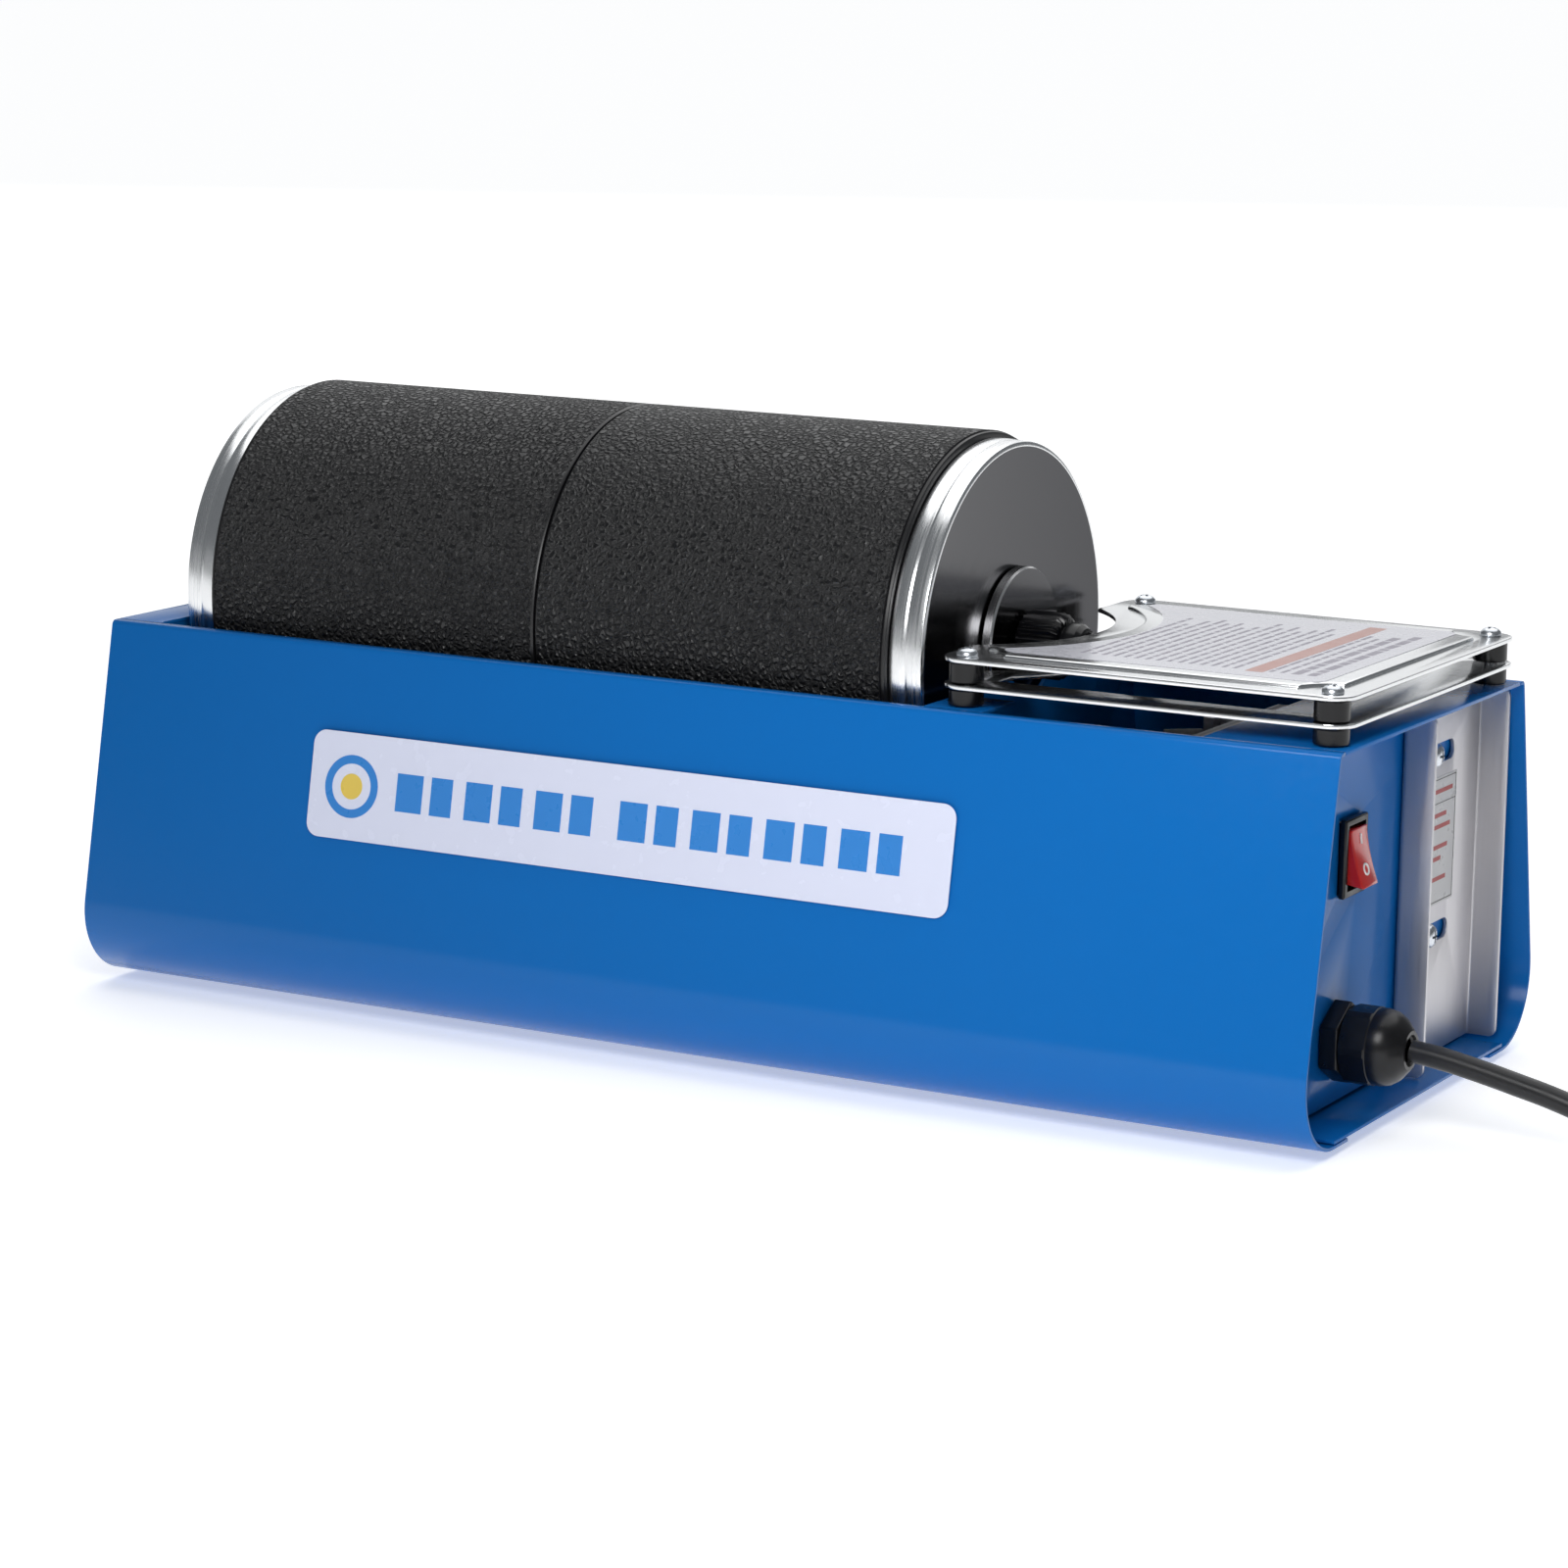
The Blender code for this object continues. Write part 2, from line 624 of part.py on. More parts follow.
def build_rollers():
    left_x = -PANEL_X + SHEET / 2
    right_x = PARTITION_X + SHEET / 2
    for name, y, end in (("drive", -ROLLER_Y, PULLEY_X[1] + 3.0), ("idler", ROLLER_Y, 79.0)):
        rod(f"{name}_shaft", SHAFT_RADIUS, on_axis(-182.0, y, ROLLER_Z),
            on_axis(end, y, ROLLER_Z), STEEL, sides=20)
        start, finish = -166.0, 60.5
        turned(f"{name}_sleeve",
               ring_profile(SHAFT_RADIUS + RUNNING, SLEEVE_RADIUS, 0.0, finish - start),
               on_axis(start, y, ROLLER_Z), AXIS_PLUS_X, BLACK_RUBBER, 28)
        add_bush(f"{name}_bush_left", y, left_x)
        add_bush(f"{name}_bush_right", y, right_x)


def pulley_profile(bore, radius, width):
    rim = radius + PULLEY_FLANGE
    cheek = (width - BELT_WIDTH - 2 * GAP) / 2
    return [(bore, width), (rim, width), (rim, width - cheek + 0.6), (radius, width - cheek),
            (radius, cheek), (rim, cheek - 0.6), (rim, 0.0), (bore, 0.0)]


def belt_loop(radius_a, radius_b, grow):
    """Open belt round both pulleys, as an outline in the YZ plane."""
    a = (-ROLLER_Y, ROLLER_Z)
    b = (MOTOR_Y, MOTOR_Z)
    distance = math.hypot(b[0] - a[0], b[1] - a[1])
    heading = math.atan2(b[1] - a[1], b[0] - a[0])
    wrap = math.acos((radius_a - radius_b) / distance)
    big = arc(a, radius_a + grow, heading + wrap, heading + 2 * math.pi - wrap, 24)
    small = arc(b, radius_b + grow, heading - wrap, heading + wrap, 10)
    return big + small


def build_drive():
    x0, x1 = PULLEY_X
    width = x1 - x0
    turned("drive_pulley", pulley_profile(SHAFT_RADIUS + RUNNING, DRIVE_PULLEY_RADIUS, width),
           on_axis(x0, -ROLLER_Y, ROLLER_Z), AXIS_PLUS_X, NYLON, 28)
    turned("motor_pulley", pulley_profile(MOTOR_SHAFT_RADIUS + RUNNING, MOTOR_PULLEY_RADIUS, width),
           on_axis(x0, MOTOR_Y, MOTOR_Z), AXIS_PLUS_X, NYLON, 16)
    inner = belt_loop(DRIVE_PULLEY_RADIUS, MOTOR_PULLEY_RADIUS, 2 * GAP)
    outer = belt_loop(DRIVE_PULLEY_RADIUS, MOTOR_PULLEY_RADIUS, 2 * GAP + BELT_THICKNESS)
    plate("drive_belt", [outer, inner], BELT_WIDTH,
          ((x0 + x1) / 2, 0.0, FOOT_HEIGHT), SIDE_ON, BLACK_RUBBER)


def build_motor():
    x0, x1 = STATOR_X
    screws = motor_screw_heights()
    shaft_hole = circle((MOTOR_Y, MOTOR_Z), MOTOR_SHAFT_RADIUS + RUNNING, 16)
    screw_holes = [circle((MOTOR_Y, z), 2.3, 12) for z in screws]

    core = [(-26.0, MOTOR_Z - 30.5), (50.0, MOTOR_Z - 30.5),
            (50.0, MOTOR_Z + 30.5), (-26.0, MOTOR_Z + 30.5)]
    window = [(-12.0, MOTOR_Z - 19.0), (8.0, MOTOR_Z - 19.0),
              (8.0, MOTOR_Z + 19.0), (-12.0, MOTOR_Z + 19.0)]
    bore = circle((MOTOR_Y, MOTOR_Z), ROTOR_RADIUS + 0.4, 32)
    plate("stator_core", [core, window, bore] + screw_holes, x1 - x0,
          ((x0 + x1) / 2, 0.0, FOOT_HEIGHT), SIDE_ON, LAMINATION)

    coil = box("stator_coil", (x0 - 7.0, -33.0, lifted(MOTOR_Z - 18.0)),
               (x1 + 7.0, -4.5, lifted(MOTOR_Z + 18.0)), COPPER)
    bevel = coil.modifiers.new("round", "BEVEL")
    bevel.width = 3.0 * MM
    bevel.segments = 3
    limb = box("coil_limb", (x0 - GAP, -26.0 - GAP, lifted(MOTOR_Z - 30.0)),
               (x1 + GAP, -12.0 + GAP, lifted(MOTOR_Z + 30.0)), None, CUTTERS)
    cut(coil, limb)

    bar = [(MOTOR_Y + sy * 8.0, MOTOR_Z + sz * 30.0)
           for sy, sz in ((-1, -1), (1, -1), (1, 1), (-1, 1))]
    inner = plate("motor_bracket_inner", [bar, shaft_hole], 3.0,
                  (x0 - 8.5, 0.0, FOOT_HEIGHT), SIDE_ON, ALUMINIUM)
    inner = to_mesh(inner)
    add_standoffs(inner, x0 - 8.0, x0 - GAP, screws)
    outer = plate("motor_bracket_outer", [bar, shaft_hole], 3.0,
                  (x1 + 8.5, 0.0, FOOT_HEIGHT), SIDE_ON, ALUMINIUM)
    outer = to_mesh(outer)
    add_standoffs(outer, x1 + GAP, PANEL_X - SHEET - GAP, screws)

    build_rotor()
    for name, z in zip(("upper", "lower"), screws):
        add_motor_screw(f"motor_screw_{name}", z)


def add_standoffs(bracket, x_low, x_high, heights):
    bracket.data.materials.append(ALUMINIUM)
    for z in heights:
        post = rod(f"{bracket.name}_post", 4.5, on_axis(x_low, MOTOR_Y, z),
                   on_axis(x_high, MOTOR_Y, z), None, CUTTERS, sides=20)
        join(bracket, post)
    for z in heights:
        hole = rod(f"{bracket.name}_bore", 2.3, on_axis(x_low - 12.0, MOTOR_Y, z),
                   on_axis(x_high + 12.0, MOTOR_Y, z), None, CUTTERS, sides=12)
        cut(bracket, hole)


def build_rotor():
    x0, x1 = STATOR_X
    start = PULLEY_X[0] - 2.0
    shaft = MOTOR_SHAFT_RADIUS
    length = x1 + 10.0 - start
    core_low, core_high = x0 - start, x1 - start
    profile = [(0.0, length), (shaft, length), (shaft, core_high + 3.0), (6.0, core_high + 3.0),
               (ROTOR_RADIUS, core_high), (ROTOR_RADIUS, core_low), (6.0, core_low - 3.0),
               (shaft, core_low - 3.0), (shaft, 0.0), (0.0, 0.0)]
    turned("motor_rotor", profile, on_axis(start, MOTOR_Y, MOTOR_Z), AXIS_PLUS_X, STEEL, 28,
           closed=False)

    fan = turned("motor_fan", ring_profile(shaft + RUNNING, 7.0, 0.0, FAN_X[1] - FAN_X[0]),
                 on_axis(FAN_X[0], MOTOR_Y, MOTOR_Z), AXIS_PLUS_X, NYLON, 18)
    blades = 6
    for i in range(blades):
        blade = box("fan_blade", (-6.0, -0.8, 0.0), (6.0, 0.8, FAN_RADIUS - 6.5), None, CUTTERS)
        turn = Matrix.Rotation(2 * math.pi * i / blades, 4, "X")
        pitch = Matrix.Rotation(math.radians(38.0), 4, "Z")
        centre = Vector(on_axis(sum(FAN_X) / 2, MOTOR_Y, MOTOR_Z)) * MM
        arm = Matrix.Translation((0.0, 0.0, (6.5 + FAN_RADIUS) / 2 * MM))
        blade.matrix_world = Matrix.Translation(centre) @ turn @ arm @ pitch
        join(fan, blade)


def add_motor_screw(name, z):
    """Pan-head screw from the channel through both brackets and the core."""
    seat = PANEL_X + GAP + DECK_PLATE + GAP
    length = seat - (STATOR_X[0] - 11.0)
    profile = [(0.0, length + 2.6), (1.8, length + 2.6), (3.3, length + 1.9), (4.0, length + 0.7),
               (4.0, length), (2.0, length), (2.0, 0.0), (0.0, 0.0)]
    turned(name, profile, on_axis(seat - length, MOTOR_Y, z), AXIS_PLUS_X, STEEL, 16,
           closed=False)


# ---------------------------------------------------------------- right end fittings

def build_channel():
    """Outward-facing channel with slots for the motor screws."""
    (y0, y1), (z0, z1) = CHANNEL_Y, CHANNEL_Z
    back, thick = PANEL_X + GAP, DECK_PLATE
    section = [(back, y0), (CHANNEL_X, y0), (CHANNEL_X, y0 + thick), (back + thick, y0 + thick),
               (back + thick, y1 - thick), (CHANNEL_X, y1 - thick), (CHANNEL_X, y1), (back, y1)]
    channel = plate("tension_channel", [section], z1 - z0, (0.0, 0.0, lifted((z0 + z1) / 2)),
                    (0.0, 0.0, 0.0), ALUMINIUM)
    channel = to_mesh(channel)
    channel.data.materials.append(ALUMINIUM)
    for z in motor_screw_heights():
        slot = plate("channel_slot", [slot_outline(SLOT_Y, z, SLOT_HEIGHT)], 6.0,
                     (PANEL_X + 1.0, 0.0, FOOT_HEIGHT), SIDE_ON, None, CUTTERS)
        cut(channel, to_mesh(slot))


def build_switch():
    """Snap-in rocker switch: bezel and body with an open pocket, and its rocker."""
    face = PANEL_X + GAP
    front = face + BEZEL_THICKNESS
    half_y, half_z = BEZEL[0] / 2, BEZEL[1] / 2
    body = box("switch_body", (face, SWITCH_Y - half_y, lifted(SWITCH_Z - half_z)),
               (front, SWITCH_Y + half_y, lifted(SWITCH_Z + half_z)), BLACK_PLASTIC)
    barrel = box("switch_barrel", (157.0, SWITCH_Y - 6.4, lifted(SWITCH_Z - 9.4)),
                 (face + 0.5, SWITCH_Y + 6.4, lifted(SWITCH_Z + 9.4)), None, CUTTERS)
    join(body, barrel)
    pocket = box("switch_pocket", (front - 8.5, SWITCH_Y - POCKET[0] / 2,
                                   lifted(SWITCH_Z - POCKET[1] / 2)),
                 (front + 2.0, SWITCH_Y + POCKET[0] / 2, lifted(SWITCH_Z + POCKET[1] / 2)),
                 None, CUTTERS)
    cut(body, pocket)

    hollow = [(front + 0.6 + 3.8 * (i / 8) ** 1.6, 7.8 - 15.6 * i / 8) for i in range(9)]
    back = [(front - 3.6, -6.3), (front - 6.6, -1.5), (front - 6.6, 1.5), (front - 5.0, 6.9)]
    rocker = plate("rocker", [[(x - front, z) for x, z in hollow + back]], 10.6,
                   (front, SWITCH_Y, lifted(SWITCH_Z)), FRONT_ON, RED_PLASTIC)
    return rocker


def hexagon(flats, steps_offset=0.0):
    radius = flats / math.sqrt(3)
    return [(radius * math.cos(math.pi / 3 * i + steps_offset),
             radius * math.sin(math.pi / 3 * i + steps_offset)) for i in range(6)]


def build_gland():
    face = PANEL_X + GAP
    bore = CORD_RADIUS + GAP
    at = (0.0, GLAND_Y, lifted(GLAND_Z))
    flange = plate("gland_body", [hexagon(GLAND_FLATS, math.pi / 6)], 5.0,
                   (face + 2.5, at[1], at[2]), SIDE_ON, BLACK_PLASTIC)
    body = to_mesh(flange)
    body.data.materials.append(BLACK_PLASTIC)
    for low, high in ((166.0, face + 1.0), (face + 4.0, face + 13.0)):
        sleeve = rod("gland_thread", 7.6 if low < face else 6.8, on_axis(low, GLAND_Y, GLAND_Z),
                     on_axis(high, GLAND_Y, GLAND_Z), None, CUTTERS, sides=24)
        join(body, sleeve)
    cut(body, rod("gland_bore", bore, on_axis(160.0, GLAND_Y, GLAND_Z),
                  on_axis(200.0, GLAND_Y, GLAND_Z), None, CUTTERS, sides=20))

    nut_low = face + 5.0 + GAP
    nut = turned("gland_nut",
                 [(bore, GLAND_END - nut_low), (6.2, GLAND_END - nut_low),
                  (8.6, GLAND_END - nut_low - 2.6), (10.4, GLAND_END - nut_low - 6.4),
                  (10.6, GLAND_END - nut_low - 8.0), (10.6, 0.0), (7.1, 0.0), (7.1, 8.4),
                  (bore, 8.4)],
                 on_axis(nut_low, GLAND_Y, GLAND_Z), AXIS_PLUS_X, BLACK_PLASTIC, 20)
    return nut


def build_badge():
    """Thin name plate, left blank, on the leaning front wall."""
    x0, x1 = BADGE_X
    z0, z1 = BADGE_Z
    radius = 4.0
    half_x, half_z = (x1 - x0) / 2, (z1 - z0) / 2 / math.cos(LEAN)
    corners = ((half_x - radius, -half_z + radius, -0.5), (half_x - radius, half_z - radius, 0.0),
               (-half_x + radius, half_z - radius, 0.5), (-half_x + radius, -half_z + radius, 1.0))
    outline = []
    for cx, cz, turn in corners:
        outline += arc((cx, cz), radius, turn * math.pi, (turn + 0.5) * math.pi, 5)
    middle = (z0 + z1) / 2
    wall_y = TOP_HALF_WIDTH + (BODY_HEIGHT - middle) * math.tan(LEAN)
    proud = GAP + 0.3
    location = ((x0 + x1) / 2, -wall_y - proud * math.cos(LEAN),
                lifted(middle) + proud * math.sin(LEAN))
    plate("front_badge", [outline], 0.6, location, (math.pi / 2 - LEAN, 0.0, 0.0), PALE_PLASTIC)


# ---------------------------------------------------------------- mains cord

def smooth_path(points, spacing):
    """Evenly spaced points along a Catmull-Rom curve through the given points."""
    padded = [points[0] * 2 - points[1]] + points + [points[-1] * 2 - points[-2]]
    dense = []
    for p0, p1, p2, p3 in zip(padded, padded[1:], padded[2:], padded[3:]):
        for i in range(20):
            t = i / 20
            dense.append(0.5 * (2 * p1 + (p2 - p0) * t + (2 * p0 - 5 * p1 + 4 * p2 - p3) * t ** 2
                                + (3 * p1 - p0 - 3 * p2 + p3) * t ** 3))
    dense.append(points[-1])
    total = sum((b - a).length for a, b in zip(dense, dense[1:]))
    count = max(2, round(total / spacing))
    result, travelled, target = [dense[0]], 0.0, total / count
    for a, b in zip(dense, dense[1:]):
        step = (b - a).length
        while travelled + step >= target * len(result) and len(result) < count:
            result.append(a.lerp(b, (target * len(result) - travelled) / step))
        travelled += step
    return result + [dense[-1]]


CORD_ROUTE = [
    (198.9, -31.3, 22.9), (206.0, -31.3, 22.1), (216.0, -31.4, 20.4), (227.0, -31.7, 18.2),
    (239.0, -32.2, 15.6), (250.0, -32.8, 12.4), (261.0, -33.3, 8.8), (271.0, -33.7, 5.4),
    (280.5, -34.0, 3.4),
]


def build_cord():
    route = smooth_path([Vector(point) * MM for point in CORD_ROUTE], 2.5 * 2 * CORD_RADIUS * MM)
    curve = bpy.data.curves.new("power_cord", "CURVE")
    curve.dimensions = "3D"
    curve.bevel_depth = CORD_RADIUS * MM
    curve.bevel_resolution = 3
    curve.use_fill_caps = True
    spline = curve.splines.new("POLY")
    spline.points.add(len(route) - 1)
    for point, position in zip(spline.points, route):
        point.co = (*position, 1.0)
    add_object("power_cord", curve, PVC)

    thick = CORD_RADIUS * COIL_TURNS_ACROSS
    high = 2 * CORD_RADIUS * COIL_LAYERS
    inner, outer = COIL_MEAN_RADIUS - thick, COIL_MEAN_RADIUS + thick
    turned("cord_coil", ring_profile(inner, outer, 0.0, high),
           (COIL_CENTRE[0], COIL_CENTRE[1], 0.0), (0.0, 0.0, 0.0), PVC, 32)
    build_plug(COIL_CENTRE[1] + COIL_MEAN_RADIUS + 2 * CORD_RADIUS)


def build_plug(y):
    """Two-blade plug beyond the coil, its boot facing the coil's outermost turn."""
    length, width, height = PLUG_SIZE
    x = PLUG_X
    plug = box("mains_plug", (x, y - width / 2, 0.0), (x + length, y + width / 2, height),
               BLACK_PLASTIC)
    bevel = plug.modifiers.new("round", "BEVEL")
    bevel.width = 3.5 * MM
    bevel.segments = 3
    join(plug, rod("plug_boot", BOOT_RADIUS, (BOOT_START, y, height / 2),
                   (x + 4.0, y, height / 2), None, CUTTERS, sides=16))
    for side in (-1, 1):
        blade = box("plug_blade", (x + length - 4.0, y + side * 6.35 - 0.75, height / 2 - 3.2),
                    (x + length + 16.0, y + side * 6.35 + 0.75, height / 2 + 3.2), None, CUTTERS)
        join(plug, blade)


build_base()
build_deck()
build_barrels()
build_rollers()
build_drive()
build_motor()
build_channel()
build_switch()
build_gland()
build_badge()
build_cord()
bpy.context.view_layer.update()
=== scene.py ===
"""A twin-barrel rock tumbler: rubber barrels on rollers in a blue enamelled base."""

import math

import bmesh
import bpy
from mathutils import Matrix, Vector


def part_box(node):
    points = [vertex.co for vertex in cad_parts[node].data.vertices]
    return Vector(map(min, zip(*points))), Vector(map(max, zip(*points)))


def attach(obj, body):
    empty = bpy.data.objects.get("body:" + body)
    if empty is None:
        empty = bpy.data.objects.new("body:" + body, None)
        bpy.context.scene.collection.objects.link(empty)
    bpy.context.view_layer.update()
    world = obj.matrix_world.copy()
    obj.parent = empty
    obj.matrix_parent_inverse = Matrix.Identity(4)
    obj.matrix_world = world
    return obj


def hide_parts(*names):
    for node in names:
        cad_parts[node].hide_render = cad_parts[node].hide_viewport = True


bl_info = {
    "name": "Rock Tumbler",
    "version": (1, 0, 0),
    "blender": (4, 5, 0),
    "location": "View3D > Sidebar > Tumbler",
    "description": "Models a twin-barrel rock tumbler piece by piece on its packed frame",
    "category": "Add Mesh",
}

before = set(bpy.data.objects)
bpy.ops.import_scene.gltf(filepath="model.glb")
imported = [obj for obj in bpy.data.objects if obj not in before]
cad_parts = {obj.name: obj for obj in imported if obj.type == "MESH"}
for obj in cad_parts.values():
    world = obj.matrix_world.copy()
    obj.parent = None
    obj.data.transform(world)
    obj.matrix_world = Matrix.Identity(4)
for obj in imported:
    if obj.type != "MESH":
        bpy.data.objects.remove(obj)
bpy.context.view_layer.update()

MM = 0.001
X = Vector((1, 0, 0))
Y = Vector((0, 1, 0))
Z = Vector((0, 0, 1))


def low(node):
    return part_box(node)[0]


def high(node):
    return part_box(node)[1]


def middle(node):
    a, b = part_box(node)
    return (a + b) / 2


def left_face(node):
    """Middle of a node's left face."""
    a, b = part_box(node)
    return Vector((a.x, (a.y + b.y) / 2, (a.z + b.z) / 2))


def length_of(node):
    """Length of a node along X, in millimetres."""
    a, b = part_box(node)
    return (b.x - a.x) / MM


# ------------------------------------------------------------------ settings

class TumblerSizes(bpy.types.PropertyGroup):
    fold_radius: bpy.props.FloatProperty(
        name="Fold radius", description="Outside radius of the sheet folds",
        default=1.6 * MM, unit="LENGTH")
    grain_size: bpy.props.FloatProperty(
        name="Rubber grain", description="Size of one pebble of the barrels' moulded grain",
        default=1.9 * MM, unit="LENGTH")
    grain_depth: bpy.props.FloatProperty(
        name="Grain depth", description="Depth of the creases between the pebbles",
        default=0.8 * MM, unit="LENGTH")
    flutes: bpy.props.IntProperty(
        name="Knob flutes", description="Number of flutes round each lid knob",
        default=22, min=6)
    cord_diameter: bpy.props.FloatProperty(
        name="Cord diameter", description="Outside diameter of the mains cord",
        default=6 * MM, unit="LENGTH")


class TumblerColours(bpy.types.PropertyGroup):
    enamel: bpy.props.FloatVectorProperty(
        name="Enamel", description="Blue of the base's baked enamel", subtype="COLOR",
        default=(0.004, 0.135, 0.45))
    rubber: bpy.props.FloatVectorProperty(
        name="Rubber", description="Black of the barrels", subtype="COLOR",
        default=(0.006, 0.006, 0.007))
    rocker: bpy.props.FloatVectorProperty(
        name="Rocker", description="Red of the switch rocker", subtype="COLOR",
        default=(0.55, 0.015, 0.012))
    plate: bpy.props.FloatVectorProperty(
        name="Name plate", description="Pale ground of the front plate", subtype="COLOR",
        default=(0.70, 0.73, 0.88))
    print_blue: bpy.props.FloatVectorProperty(
        name="Print", description="Blue of the plate's printed shapes", subtype="COLOR",
        default=(0.03, 0.22, 0.62))


def sizes():
    return bpy.context.scene.tumbler_sizes


def colours():
    return bpy.context.scene.tumbler_colours


# ------------------------------------------------------------------ materials

def once(make):
    """A finish is made the first time it is asked for, by its name, and then shared."""
    def shared(name=make.__name__, *settings, **more):
        return bpy.data.materials.get(name) or make(name, *settings, **more)
    return shared


def shader_of(mat):
    return mat.node_tree.nodes["Principled BSDF"]


def plain(name, colour, roughness, metallic=0.0, coat=0.0, specular=0.5):
    """A shader with one colour and finish all over."""
    mat = bpy.data.materials.new(name)
    mat.use_nodes = True
    values = {"Base Color": (*colour, 1), "Roughness": roughness, "Metallic": metallic,
              "Coat Weight": coat, "Coat Roughness": 0.12, "Specular IOR Level": specular}
    for socket, value in values.items():
        shader_of(mat).inputs[socket].default_value = value
    return mat


def object_vector(mat, stretch=(1, 1, 1), centre=(0, 0, 0)):
    """Object coordinates, centred and stretched."""
    nodes, links = mat.node_tree.nodes, mat.node_tree.links
    coordinates = nodes.new("ShaderNodeTexCoord")
    mapping = nodes.new("ShaderNodeMapping")
    mapping.inputs["Location"].default_value = [-c * s for c, s in zip(centre, stretch)]
    mapping.inputs["Scale"].default_value = stretch
    links.new(coordinates.outputs["Object"], mapping.inputs["Vector"])
    return mapping.outputs["Vector"]


def turned_vector(mat, along, around):
    """Coordinates (radius, along the barrel axis) for marks left by a lathe."""
    nodes, links = mat.node_tree.nodes, mat.node_tree.links
    place = object_vector(mat, centre=(0, 0, AXIS_Z))
    split = nodes.new("ShaderNodeSeparateXYZ")
    links.new(place, split.inputs["Vector"])
    flat = nodes.new("ShaderNodeCombineXYZ")
    links.new(split.outputs["Y"], flat.inputs["X"])
    links.new(split.outputs["Z"], flat.inputs["Y"])
    radius = nodes.new("ShaderNodeVectorMath")
    radius.operation = "LENGTH"
    links.new(flat.outputs["Vector"], radius.inputs[0])
    joined = nodes.new("ShaderNodeCombineXYZ")
    for source, scale, socket in ((radius.outputs["Value"], around, "X"),
                                  (split.outputs["X"], along, "Y")):
        scaled = nodes.new("ShaderNodeMath")
        scaled.operation = "MULTIPLY"
        scaled.inputs[1].default_value = scale
        links.new(source, scaled.inputs[0])
        links.new(scaled.outputs["Value"], joined.inputs[socket])
    return joined.outputs["Vector"]


def noise(mat, vector, scale, detail=2.0, roughness=0.5):
    texture = mat.node_tree.nodes.new("ShaderNodeTexNoise")
    texture.inputs["Scale"].default_value = scale
    texture.inputs["Detail"].default_value = detail
    texture.inputs["Roughness"].default_value = roughness
    mat.node_tree.links.new(vector, texture.inputs["Vector"])
    return texture.outputs["Fac"]


def ranged(mat, value, low_in, high_in, low_out, high_out):
    spread = mat.node_tree.nodes.new("ShaderNodeMapRange")
    limits = {"From Min": low_in, "From Max": high_in, "To Min": low_out, "To Max": high_out}
    for socket, limit in limits.items():
        spread.inputs[socket].default_value = limit
    mat.node_tree.links.new(value, spread.inputs["Value"])
    return spread.outputs["Result"]


def bumped(mat, height, distance, strength=1.0):
    bump = mat.node_tree.nodes.new("ShaderNodeBump")
    bump.inputs["Distance"].default_value = distance
    bump.inputs["Strength"].default_value = strength
    mat.node_tree.links.new(height, bump.inputs["Height"])
    mat.node_tree.links.new(bump.outputs["Normal"], shader_of(mat).inputs["Normal"])
    return mat


def roughened(mat, value):
    mat.node_tree.links.new(value, shader_of(mat).inputs["Roughness"])
    return mat


def tinted(mat, value, dark, light):
    """Colour that wanders between two shades with a value from 0 to 1."""
    mix = mat.node_tree.nodes.new("ShaderNodeMix")
    mix.data_type = "RGBA"
    mix.inputs["A"].default_value = (*dark, 1)
    mix.inputs["B"].default_value = (*light, 1)
    mat.node_tree.links.new(value, mix.inputs["Factor"])
    mat.node_tree.links.new(mix.outputs["Result"], shader_of(mat).inputs["Base Color"])
    return mat


@once
def blue_enamel_coat(name):
    """Baked enamel: a gloss with a faint orange peel."""
    mat = plain(name, colours().enamel, 0.2, specular=0.18)
    place = object_vector(mat)
    roughened(mat, ranged(mat, noise(mat, place, 500), 0.3, 0.7, 0.18, 0.24))
    return bumped(mat, noise(mat, place, 500, 1.0), 0.01 * MM, 0.3)


@once
def grained_rubber(name):
    """Moulded leather grain: glossy pebbles between worm-like creases."""
    mat = plain(name, colours().rubber, 0.42, specular=0.55)
    nodes, links = mat.node_tree.nodes, mat.node_tree.links
    place = object_vector(mat)
    warp = nodes.new("ShaderNodeTexNoise")
    warp.inputs["Scale"].default_value = 1.1 / sizes().grain_size
    warp.inputs["Detail"].default_value = 1
    links.new(place, warp.inputs["Vector"])
    shift = nodes.new("ShaderNodeVectorMath")
    shift.operation = "MULTIPLY_ADD"
    shift.inputs[1].default_value = (1.5 * MM,) * 3
    links.new(warp.outputs["Color"], shift.inputs[0])
    links.new(place, shift.inputs[2])
    cells = nodes.new("ShaderNodeTexVoronoi")
    cells.feature = "DISTANCE_TO_EDGE"
    cells.inputs["Scale"].default_value = 1 / sizes().grain_size
    cells.inputs["Randomness"].default_value = 1
    links.new(shift.outputs["Vector"], cells.inputs["Vector"])
    crease = ranged(mat, cells.outputs["Distance"], 0.0, 0.30, 0.0, 1.0)
    roughened(mat, ranged(mat, crease, 0.0, 1.0, 0.7, 0.30))
    return bumped(mat, crease, sizes().grain_depth, 1.0)


@once
def smooth_rubber(name, roughness=0.5):
    mat = plain(name, colours().rubber, roughness)
    return bumped(mat, noise(mat, object_vector(mat), 700, 3.0), 0.03 * MM, 0.4)


@once
def spun_metal(name, colour, smooth_end, rough_end, depth=0.006 * MM):
    """Turned metal with fine marks that run round the barrel axis."""
    mat = plain(name, colour, smooth_end, metallic=1.0)
    marks = noise(mat, turned_vector(mat, 2600, 2600), 1.0, 3.0)
    roughened(mat, ranged(mat, marks, 0.3, 0.7, smooth_end, rough_end))
    return bumped(mat, marks, depth, 0.5)


